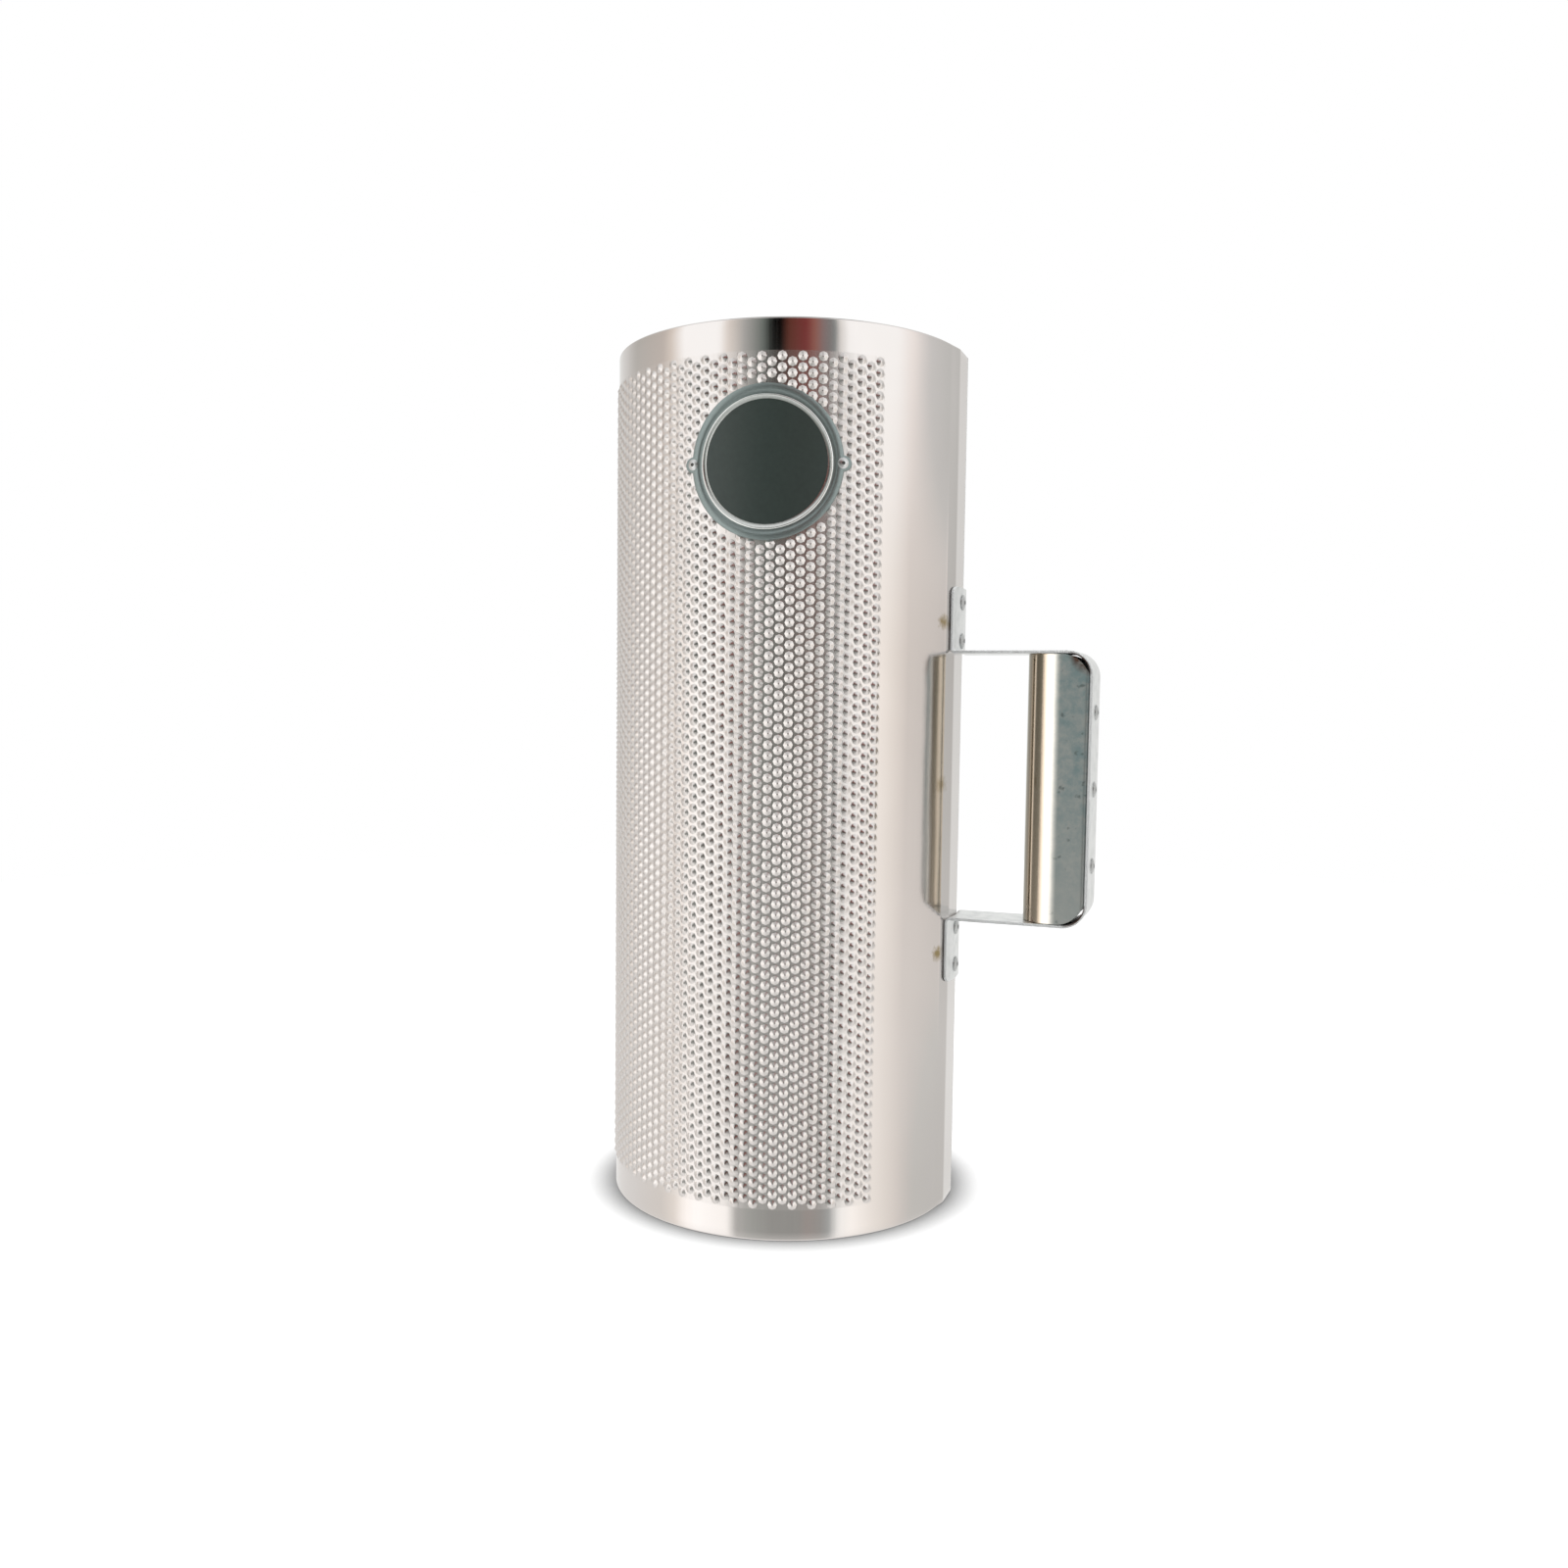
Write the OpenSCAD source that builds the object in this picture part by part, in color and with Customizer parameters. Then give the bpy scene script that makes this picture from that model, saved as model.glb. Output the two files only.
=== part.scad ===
// Metal guiro: an open sheet tube with a riveted strap handle, a D-shaped grip sleeve and a round badge.
// The tube stands on the XY plane with its axis on Z, and the handle points along +X.

/* [Body] */
// Outer diameter of the tube
body_d = 146; // [130:1:170]
// Height of the tube
body_h = 349; // [335:1:400]
// Thickness of the body sheet
sheet_t = 0.7; // [0.5:0.1:1]
// Height of the hem folded inwards at each rim
hem_h = 8; // [5:0.5:12]
// Rounding of each hem's folded edge
hem_edge_r = 0.4; // [0.2:0.05:0.45]
// Width of the lap where the sheet's ends overlap, under the handle
lap_w = 14.5; // [12:0.5:20]
// Distance from each rim to the end of the outer lap
lap_end = 1; // [0.5:0.1:3]

/* [Scraping field] */
// Angle from the handle to each edge of the field of bumps
field_edge = 41.8; // [30:0.1:50]
// Plain margin between each rim and the field
field_margin = 12.2; // [9:0.1:20]
// Columns of bumps that the sheet has round the field
bump_columns = 93; // [60:1:99]
// Bumps in each of those columns
bump_rows = 78; // [50:1:80]
// Columns from one modelled column to the next
column_step = 3; // [3:1:6]
// Bumps from one modelled bump of a column to the next
row_step = 4; // [3:1:6]
// Diameter of a bump at its foot
bump_d = 3.6; // [3:0.1:3.7]
// Height of a bump above the sheet
bump_h = 0.7; // [0.4:0.05:0.9]

/* [Handle] */
// Height of the handle's middle above the base
handle_z = 174; // [150:1:180]
// Distance from the tube's side to the web's outer face
handle_reach = 56.5; // [50:0.5:65]
// Span over the outer faces of the two arms
arm_span = 109.5; // [100:0.5:120]
// Width of the strap
strap_w = 23; // [20:1:30]
// Thickness of the strap
strap_t = 1.2; // [1:0.1:2]
// Outer radius of the bends between the arms and the web
web_bend_r = 10; // [6:0.5:12]
// Inner radius of the bends between the arms and the tabs
tab_bend_r = 0.8; // [0.4:0.1:1.5]
// Rounding of the tabs' free corners
tab_corner_r = 3; // [1:0.5:5]

/* [Grip sleeve] */
// Thickness of the sleeve's sheet
sleeve_t = 1; // [0.6:0.1:1.4]
// Depth of the sleeve from the web's inner face to its nose
sleeve_depth = 25.6; // [22:0.2:28]
// How much larger the sleeve's corner rounding is than the strap's bend beside it
corner_relief = 4.5; // [2:0.5:6]
// Opening between the edge of the sleeve's lip and its far leg
lip_gap = 3; // [1:0.5:5]

/* [Badge] */
// Diameter of the badge
badge_d = 57.5; // [55:0.5:64]
// Angle round the tube from the handle to the badge's middle
badge_angle = -77.5; // [-120:0.5:-60]
// Distance from the top rim to the badge's middle
badge_drop = 53; // [49:1:64]
// Thickness of the badge's plate
badge_t = 1.2; // [1:0.1:2]
// Diameter of the enamelled field
enamel_d = 45.8; // [40:0.2:47]
// Depth of the enamel
enamel_t = 0.5; // [0.3:0.1:0.7]
// Width of the raised ring round the enamel
ring_w = 1.6; // [0.8:0.1:2.2]
// Height of the raised ring above the plate
ring_h = 0.3; // [0.1:0.05:0.6]
// Radius of the ear round each badge rivet
ear_r = 2.9; // [2.7:0.1:4]
// Distance from the badge's edge in to the middle of each badge rivet, along the tube's side
ear_inset = 0.2; // [0:0.1:0.8]

/* [Rivets] */
// Shank diameter of the tab and grip rivets
rivet_d = 3.2; // [2.4:0.1:4]
// Head diameter of the tab and grip rivets
rivet_head_d = 6.4; // [5.6:0.1:7]
// Head height of the tab and grip rivets
rivet_head_h = 1.1; // [0.8:0.1:1.5]
// Distance from the strap's bend to the head of the nearest tab rivet
tab_rivet_gap = 0.2; // [0.1:0.1:1]
// Spacing of the two rivets in each tab
tab_rivet_pitch = 15.6; // [12:0.2:20]
// Distance from each tab's outer rivet to the tab's end
tab_end = 5.9; // [4:0.1:8]
// Spacing of the three rivets along the grip
grip_rivet_pitch = 30.6; // [20:0.2:34]
// Shank diameter of the badge rivets
badge_rivet_d = 2.4; // [2:0.1:2.8]
// Head diameter of the badge rivets
badge_rivet_head_d = 4.2; // [3.6:0.1:5]
// Head height of the badge rivets
badge_rivet_head_h = 0.8; // [0.6:0.05:1]

/* [Fits] */
// Radial clearance of each rivet in its holes, and of each mandrel in its rivet
rivet_clear = 0.05; // [0.03:0.01:0.1]
// Clearance between the sleeve's ends and the arms
sleeve_clear = 0.1; // [0.05:0.05:0.4]
// Clearance between curved faces that seat on each other
seat_gap = 0.1; // [0.05:0.05:0.3]
// Clearance of the enamel in its recess
enamel_clear = 0.05; // [0.03:0.01:0.1]

/* [Hidden] */
$fn = 96;

TAB_RIVETS = 4;
GRIP_RIVETS = 3;
BADGE_RIVETS = 2;
function numbered(name, count) = [for (i = [1:count]) str(name, "_", i)];

// Room that a cut reaches past the faces it opens
over = 1;

// Radii of the tube's faces, from its axis
body_r = body_d / 2;
inner_r = body_r - sheet_t;
lap_r = body_r + sheet_t;
lap_angle = lap_w / body_r * 180 / PI;

// Pitch of the bumps round the tube and along it, and the radius of the ball that each is a cap of
column_pitch = (360 - 2 * field_edge) / bump_columns;
row_pitch = (body_h - 2 * field_margin) / bump_rows;
bump_ball_r = (pow(bump_d / 2, 2) + pow(bump_h, 2)) / (2 * bump_h);

// The curved tabs' faces from the tube's axis, the flat web's along X and the arms' above the handle's middle
tab_r0 = lap_r + seat_gap;
tab_r1 = tab_r0 + strap_t;
web_x1 = body_r + handle_reach;
web_x0 = web_x1 - strap_t;
arm_out = arm_span / 2;
arm_in = arm_out - strap_t;
tab_bend_out_r = tab_bend_r + strap_t;
web_bend_in_r = web_bend_r - strap_t;
// Radius at which the flat arms start, and depth by which a tab's edges lie behind its middle
root_r = tab_r1 + tab_bend_r;
tab_sag = tab_r0 - sqrt(pow(tab_r0, 2) - pow(strap_w / 2, 2));

// Heights of the tab rivets above the handle's middle
tab_rivet_near = arm_out + tab_bend_r + tab_rivet_gap + rivet_head_d / 2;
tab_rivet_far = tab_rivet_near + tab_rivet_pitch;
tab_top = tab_rivet_far + tab_end;
tab_rivet_dz = [tab_rivet_far, tab_rivet_near, -tab_rivet_near, -tab_rivet_far];
tab_rivet_z = [for (dz = tab_rivet_dz) handle_z + dz];
grip_rivet_z = [for (k = [1, 0, -1]) handle_z + k * grip_rivet_pitch];

// The sleeve's nose, legs and corners
sleeve_r = strap_w / 2;
nose_x = web_x0 - sleeve_depth + sleeve_r;
sleeve_half = arm_in - sleeve_clear;
sleeve_corner_r = web_bend_in_r + corner_relief;

// The badge's height, its faces from the tube's axis, and the angles of its rivets
badge_z = body_h - badge_drop;
badge_r0 = body_r + seat_gap;
badge_r1 = badge_r0 + badge_t;
ring_r1 = badge_r1 + ring_h;
enamel_r0 = badge_r1 - enamel_t;
ring_d = enamel_d + 2 * ring_w;
badge_rivet_turn = (badge_d / 2 - ear_inset) / body_r * 180 / PI;
badge_rivet_angle = [for (side = [-1, 1]) badge_angle + side * badge_rivet_turn];

// Layers that each kind of rivet holds together
tab_stack = tab_r1 - inner_r;
grip_stack = strap_t + sleeve_t;
badge_stack = badge_r1 - inner_r;

// Blind rivets keep these proportions to their shank
BULB_D = 1.5;
BULB_L = 0.9;
BORE_D = 0.56;
MANDREL_HEAD_D = 0.95;
MANDREL_HEAD_L = 0.4;
// Share of a rivet's head that is its straight edge, and depth of the snapped stem below the head's top
HEAD_EDGE = 0.3;
STEM_RECESS = 0.35;

// Turns a shape built along Z so that it points along +X, at a distance x from the axis and a height z
module along_x(x, z)
{
    translate([x, 0, z]) rotate([0, 90, 0]) children();
}

// The same, turned round the tube by an angle
module on_tube(angle, x, z)
{
    rotate([0, 0, angle]) along_x(x, z) children();
}

// A bar of width w and height h, rounded by r at its two lower corners
module rounded_bar(w, h, r)
{
    translate([r, 0]) square([w - 2 * r, h]);
    translate([0, r]) square([w, h - r]);
    for (x = [r, w - r]) translate([x, r]) circle(r);
}

// What has to come off a square corner at the origin to round it by r, for a shape that lies in +X and +Y
module corner_waste(r)
{
    difference() {
        translate([-over, -over]) square(r + over);
        translate([r, r]) circle(r);
    }
}

// A tube shell between two radii and two heights
module shell(r0, r1, z0, z1)
{
    translate([0, 0, z0]) difference() {
        cylinder(h = z1 - z0, r = r1);
        translate([0, 0, -over]) cylinder(h = z1 - z0 + 2 * over, r = r0);
    }
}

// Section of the wall and its two hems, for turning about the tube's axis
module wall_section()
{
    translate([inner_r, hem_edge_r]) square([sheet_t, body_h - 2 * hem_edge_r]);
    translate([inner_r - sheet_t, 0]) rounded_bar(2 * sheet_t, hem_h, hem_edge_r);
    translate([inner_r - sheet_t, body_h]) mirror([0, 1]) rounded_bar(2 * sheet_t, hem_h, hem_edge_r);
}

// Outer layer of the lap, sunk half a sheet into the wall that it is one piece with
module lap()
{
    rotate([0, 0, -lap_angle / 2]) rotate_extrude(angle = lap_angle)
        translate([body_r - sheet_t / 2, lap_end])
            square([lap_r - body_r + sheet_t / 2, body_h - 2 * lap_end]);
}

// One pressed bump on the plane z = 0: the cap of a ball, sunk half a sheet below it
module bump()
{
    rotate_extrude($fn = 24) intersection() {
        translate([0, bump_h - bump_ball_r]) circle(bump_ball_r);
        translate([0, -sheet_t / 2]) square([bump_ball_r, bump_h + sheet_t / 2]);
    }
}

// Distance along the tube's side from a place at an angle and a height to the badge's middle
function from_badge(angle, z) = norm([(angle - badge_angle - 360) * PI / 180 * body_r, z - badge_z]);

// The main bumps of the field, in which each column stands half a bump's pitch above the one before it
module bumps()
{
    for (i = [0:column_step:bump_columns - 1], j = [0:row_step:bump_rows - 1]) {
        angle = field_edge + (i + 0.5) * column_pitch;
        z = field_margin + (j + 0.5 + i / 2 % row_step) * row_pitch;
        clear_of_badge = from_badge(angle, z) > badge_d / 2 + ear_r + bump_d / 2;
        if (clear_of_badge && z < body_h - field_margin - bump_d / 2) on_tube(angle, body_r, z) bump();
    }
}

module body_shell()
{
    color([0.81, 0.79, 0.76]) difference() {
        union() {
            rotate_extrude() wall_section();
            lap();
            bumps();
        }
        for (z = tab_rivet_z) along_x(inner_r - over, z)
            cylinder(h = tab_stack + 2 * over, d = rivet_d + 2 * rivet_clear);
        for (angle = badge_rivet_angle) on_tube(angle, inner_r - over, badge_z)
            cylinder(h = badge_stack + 2 * over, d = badge_rivet_d + 2 * rivet_clear);
    }
}

// A block from x0 to x1, centred on Y, with its two corners at x1 rounded by r
module d_block(x0, x1, half, r)
{
    translate([x0, -half]) square([x1 - r - x0, 2 * half]);
    translate([x0, r - half]) square([x1 - x0, 2 * (half - r)]);
    for (y = [r - half, half - r]) translate([x1 - r, y]) circle(r);
}

// The upper tab, its bend and the arm's root, as a radius from the tube's axis and a height
module tab_section()
{
    difference() {
        union() {
            translate([tab_r0, arm_in]) square([strap_t, tab_top - arm_in]);
            translate([tab_r0, arm_in]) square([root_r + over - tab_r0, strap_t]);
            translate([tab_r1, arm_out]) difference() {
                translate([-over / 2, -over / 2]) square(tab_bend_r + over / 2);
                translate([tab_bend_r, tab_bend_r]) circle(tab_bend_r);
            }
        }
        translate([tab_r0, arm_in]) corner_waste(tab_bend_out_r);
    }
}

// The upper tab, turned about the tube's axis to lie on the lap, and cut to the strap's width
module curved_tab()
{
    intersection() {
        rotate_extrude() tab_section();
        translate([0, -strap_w / 2, 0]) cube([root_r + 2 * over, strap_w, tab_top + over]);
    }
}

// Side view of the arms and the web, with X outwards and Y upwards from the handle's middle
module arms_section()
{
    difference() {
        d_block(0, web_x1, arm_out, web_bend_r);
        d_block(-over, web_x0, arm_in, web_bend_in_r);
    }
}

module flat_arms()
{
    difference() {
        rotate([90, 0, 0]) linear_extrude(height = strap_w, center = true) arms_section();
        translate([0, 0, -arm_span]) cylinder(h = 2 * arm_span, r = root_r);
    }
}

module handle_strap()
{
    color([0.78, 0.78, 0.77]) difference() {
        translate([0, 0, handle_z]) {
            flat_arms();
            for (top = [0, 1]) mirror([0, 0, top]) curved_tab();
        }
        for (top = [0, 1], side = [0, 1])
            translate([0, 0, handle_z]) mirror([0, side, 0]) mirror([0, 0, top])
                translate([tab_r0 - tab_sag - over, -strap_w / 2, -tab_top])
                    rotate([90, 0, 90]) linear_extrude(height = tab_sag + strap_t + 2 * over)
                        corner_waste(tab_corner_r);
        for (z = tab_rivet_z) along_x(tab_r0 - over, z)
            cylinder(h = strap_t + 2 * over, d = rivet_d + 2 * rivet_clear);
        for (z = grip_rivet_z) along_x(web_x0 - over, z)
            cylinder(h = strap_t + 2 * over, d = rivet_d + 2 * rivet_clear);
    }
}

// D-shaped outline with a round nose of radius r, whose back is at x1
module d_outline(r, x1)
{
    intersection() {
        translate([nose_x, 0]) circle(r);
        translate([nose_x - r, -r]) square([x1 - nose_x + r, 2 * r]);
    }
    translate([nose_x, -r]) square([x1 - nose_x, 2 * r]);
}

module sleeve_section()
{
    inside_r = sleeve_r - sleeve_t;
    difference() {
        d_outline(sleeve_r, web_x0);
        d_outline(inside_r, web_x0 - sleeve_t);
        translate([web_x0 - sleeve_t - over, inside_r - lip_gap]) square([sleeve_t + 2 * over, lip_gap]);
    }
}

module grip_sleeve()
{
    color([0.62, 0.66, 0.65]) difference() {
        translate([0, 0, handle_z - sleeve_half]) linear_extrude(height = 2 * sleeve_half) sleeve_section();
        for (top = [0, 1])
            translate([web_x0, strap_w / 2 + over, handle_z]) mirror([0, 0, top])
                translate([0, 0, -sleeve_half]) rotate([90, 0, 0]) mirror([1, 0])
                    linear_extrude(height = strap_w + 2 * over) corner_waste(sleeve_corner_r);
        for (z = grip_rivet_z) along_x(web_x0 - sleeve_t - over, z)
            cylinder(h = sleeve_t + 2 * over, d = rivet_d + 2 * rivet_clear);
    }
}

// A column of the given diameter that stands on the tube's axis and points through the badge's middle
module badge_column(d)
{
    on_tube(badge_angle, 0, badge_z) cylinder(h = ring_r1 + over, d = d);
}

// The badge's outline pushed out along its own direction, with an ear at each rivet
module badge_blank()
{
    badge_column(badge_d);
    for (angle = badge_rivet_angle) on_tube(angle, 0, badge_z) cylinder(h = ring_r1 + over, r = ear_r);
}

module badge_shell(r0, r1)
{
    shell(r0, r1, badge_z - badge_d, badge_z + badge_d);
}

module badge_plate()
{
    color([0.5, 0.55, 0.55]) difference() {
        union() {
            intersection() {
                badge_blank();
                badge_shell(badge_r0, badge_r1);
            }
            intersection() {
                badge_column(ring_d);
                badge_shell(enamel_r0, ring_r1);
            }
        }
        difference() {
            badge_column(enamel_d + 2 * enamel_clear);
            translate([0, 0, badge_z - badge_d]) cylinder(h = 2 * badge_d, r = enamel_r0 - enamel_clear);
        }
        for (angle = badge_rivet_angle) on_tube(angle, inner_r, badge_z)
            cylinder(h = badge_stack + ring_h + over, d = badge_rivet_d + 2 * rivet_clear);
    }
}

module badge_enamel()
{
    color([0.16, 0.2, 0.19]) intersection() {
        badge_column(enamel_d);
        badge_shell(enamel_r0, badge_r1);
    }
}

// Set blind rivet: the head's underside is at z = 0, and its bulb grips the far side of the stack
module blind_rivet(d, head_d, head_h, stack)
{
    dome = head_h * (1 - HEAD_EDGE);
    dome_r = (pow(head_d / 2, 2) + pow(dome, 2)) / (2 * dome);
    bulb_l = BULB_L * d;
    rotate_extrude() difference() {
        union() {
            square([head_d / 2, head_h - dome]);
            intersection() {
                translate([0, head_h - dome_r]) circle(dome_r);
                square([head_d / 2, head_h]);
            }
            translate([0, -stack - bulb_l / 2]) square([d / 2, stack + bulb_l / 2 + (head_h - dome) / 2]);
            intersection() {
                translate([0, -stack - seat_gap - bulb_l / 2]) circle(BULB_D * d / 2);
                translate([0, -stack - seat_gap - bulb_l]) square([BULB_D * d, bulb_l]);
            }
        }
        translate([-over, -stack - bulb_l - 2 * over])
            square([BORE_D * d / 2 + over, stack + bulb_l + head_h + 4 * over]);
    }
}

// What stays of the mandrel in a set rivet: a snapped stem and the head that drew the bulb out
module mandrel(d, head_h, stack)
{
    head_l = MANDREL_HEAD_L * d;
    head_r = MANDREL_HEAD_D * d / 2;
    z0 = -stack - seat_gap - BULB_L * d;
    stem_r = BORE_D * d / 2 - rivet_clear;
    rotate_extrude() {
        translate([0, z0 - head_l]) square([stem_r, head_h - STEM_RECESS * head_h - z0 + head_l]);
        intersection() {
            translate([0, z0 - head_l + head_r]) circle(head_r);
            translate([0, z0 - head_l]) square([head_r, head_l]);
        }
    }
}

module tab_rivet(i)
{
    color([0.75, 0.76, 0.76]) along_x(tab_r1, tab_rivet_z[i - 1])
        blind_rivet(rivet_d, rivet_head_d, rivet_head_h, tab_stack);
}

module tab_mandrel(i)
{
    color([0.35, 0.35, 0.35]) along_x(tab_r1, tab_rivet_z[i - 1]) mandrel(rivet_d, rivet_head_h, tab_stack);
}

module grip_rivet(i)
{
    color([0.75, 0.76, 0.76]) along_x(web_x1, grip_rivet_z[i - 1])
        blind_rivet(rivet_d, rivet_head_d, rivet_head_h, grip_stack);
}

module grip_mandrel(i)
{
    color([0.35, 0.35, 0.35]) along_x(web_x1, grip_rivet_z[i - 1]) mandrel(rivet_d, rivet_head_h, grip_stack);
}

module badge_rivet(i)
{
    color([0.75, 0.76, 0.76]) on_tube(badge_rivet_angle[i - 1], badge_r1, badge_z)
        blind_rivet(badge_rivet_d, badge_rivet_head_d, badge_rivet_head_h, badge_stack);
}

module badge_mandrel(i)
{
    color([0.2, 0.2, 0.2]) on_tube(badge_rivet_angle[i - 1], badge_r1, badge_z)
        mandrel(badge_rivet_d, badge_rivet_head_h, badge_stack);
}

body_shell();
handle_strap();
grip_sleeve();
badge_plate();
badge_enamel();
for (i = [1:TAB_RIVETS]) {
    tab_rivet(i);
    tab_mandrel(i);
}
for (i = [1:GRIP_RIVETS]) {
    grip_rivet(i);
    grip_mandrel(i);
}
for (i = [1:BADGE_RIVETS]) {
    badge_rivet(i);
    badge_mandrel(i);
}
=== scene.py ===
"""Metal guiro: the looks of a sheet-metal scraper, laid out as a Blender add-on and run as a script.

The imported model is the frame. Each operator makes one piece, or one group of like pieces, as numpy surfaces
in metres, with the place of every piece in its mesh. The tube's axis is Z and the handle points along +X.
"""

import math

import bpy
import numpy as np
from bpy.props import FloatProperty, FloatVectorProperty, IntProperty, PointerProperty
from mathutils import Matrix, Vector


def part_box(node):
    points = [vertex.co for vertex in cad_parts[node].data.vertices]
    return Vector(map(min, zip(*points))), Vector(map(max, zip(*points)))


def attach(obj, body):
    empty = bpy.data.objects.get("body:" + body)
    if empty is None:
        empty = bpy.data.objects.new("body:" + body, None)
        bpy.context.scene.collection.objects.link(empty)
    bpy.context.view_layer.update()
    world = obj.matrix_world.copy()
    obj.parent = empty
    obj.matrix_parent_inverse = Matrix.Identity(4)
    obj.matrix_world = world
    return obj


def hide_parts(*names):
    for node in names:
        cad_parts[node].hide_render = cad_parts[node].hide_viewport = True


bl_info = {
    "name": "Metal Guiro",
    "version": (1, 0, 0),
    "blender": (4, 5, 0),
    "location": "3D View > Sidebar > Guiro",
    "description": "Sheet-metal guiro with a pressed scraping field, a riveted handle and a round badge",
    "category": "Add Mesh",
}

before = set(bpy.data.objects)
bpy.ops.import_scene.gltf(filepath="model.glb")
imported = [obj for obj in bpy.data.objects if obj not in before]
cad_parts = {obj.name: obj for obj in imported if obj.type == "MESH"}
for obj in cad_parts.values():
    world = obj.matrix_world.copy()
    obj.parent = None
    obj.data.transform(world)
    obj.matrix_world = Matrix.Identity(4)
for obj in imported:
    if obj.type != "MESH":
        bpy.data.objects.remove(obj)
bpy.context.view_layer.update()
BODY = "root"
MM = 0.001


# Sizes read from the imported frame

def node_points(name):
    """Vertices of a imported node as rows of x, y, z."""
    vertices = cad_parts[name].data.vertices
    flat = np.empty(len(vertices) * 3, np.float32)
    vertices.foreach_get("co", flat)
    return flat.reshape(-1, 3).astype(float)


def node_radii(name):
    """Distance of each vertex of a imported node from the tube's axis."""
    return np.hypot(*node_points(name)[:, :2].T)


def node_angles(name):
    """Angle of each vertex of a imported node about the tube's axis, from the handle."""
    return np.arctan2(*node_points(name)[:, 1::-1].T)


def numbered_nodes(kind):
    """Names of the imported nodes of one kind, such as every tab rivet, in order."""
    return sorted(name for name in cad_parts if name.rsplit("_", 1)[0] == kind)


# The hem at the top, away from the lap, gives the tube's radius and its sheet's thickness. What stands proud
# close to the handle is the lap.
HEM_SEARCH = 5 * MM
LAP_SEARCH = math.radians(25)
BODY_POINTS = node_points("body_shell")
BODY_RADII = node_radii("body_shell")
BODY_ANGLES = np.abs(node_angles("body_shell"))
TUBE_H = float(BODY_POINTS[:, 2].max())
ON_HEM = (BODY_POINTS[:, 2] > TUBE_H - HEM_SEARCH) & (BODY_POINTS[:, 0] < 0)
TUBE_R = float(BODY_RADII[ON_HEM].max())
SHEET = float(TUBE_R - BODY_RADII[ON_HEM].min()) / 2
ON_LAP = (BODY_RADII > TUBE_R + SHEET / 2) & (BODY_ANGLES < LAP_SEARCH)
LAP_HALF = float(BODY_ANGLES[ON_LAP].max())

STRAP_LOW, STRAP_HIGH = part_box("handle_strap")
SLEEVE_LOW, SLEEVE_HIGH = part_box("grip_sleeve")
TAB_UNDER = float(node_radii("handle_strap").min())
HANDLE_Z = (STRAP_LOW.z + STRAP_HIGH.z) / 2
STRAP_T = STRAP_HIGH.x - SLEEVE_HIGH.x
STRAP_W = STRAP_HIGH.y - STRAP_LOW.y
TAB_TOP = TAB_UNDER + STRAP_T
SLEEVE_HALF = (SLEEVE_HIGH.z - SLEEVE_LOW.z) / 2

BADGE_LOW, BADGE_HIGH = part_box("badge_plate")
BADGE_Z = (BADGE_LOW.z + BADGE_HIGH.z) / 2
BADGE_R = (BADGE_HIGH.z - BADGE_LOW.z) / 2
BADGE_ANGLE = float(node_angles("badge_plate").min() + node_angles("badge_plate").max()) / 2
BADGE_UNDER = float(node_radii("badge_plate").min())
BADGE_TOP = float(node_radii("badge_enamel").max())
RING_TOP = float(node_radii("badge_plate").max())
ENAMEL_UNDER = float(node_radii("badge_enamel").min())
ENAMEL_R = float(np.ptp(node_points("badge_enamel")[:, 2])) / 2
EAR_ANGLES = [float(node_angles(name).mean()) for name in numbered_nodes("badge_rivet")]
EAR_AT = TUBE_R * (max(EAR_ANGLES) - min(EAR_ANGLES)) / 2


def linear(hex_colour):
    """Linear red, green and blue of an sRGB hex colour such as "#cfc8c2"."""
    srgb = np.array([int(hex_colour[i:i + 2], 16) for i in (1, 3, 5)]) / 255
    return tuple(np.where(srgb <= 0.04045, srgb / 12.92, ((srgb + 0.055) / 1.055) ** 2.4).tolist())


# What a user would change

def length(name, description, default):
    """A length in metres, which the sidebar shows in the scene's unit."""
    return FloatProperty(name=name, description=description, default=default, min=0.0,
                         unit="LENGTH", subtype="DISTANCE", precision=5)


def angle(name, description, degrees):
    """An angle, given in degrees and held in radians."""
    return FloatProperty(name=name, description=description, default=math.radians(degrees),
                         unit="ROTATION", subtype="ANGLE")


def colour(name, description, hex_colour):
    """A colour, given as sRGB hex and held as linear values."""
    return FloatVectorProperty(name=name, description=description, default=linear(hex_colour),
                               subtype="COLOR", size=3, min=0.0, max=1.0)


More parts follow.
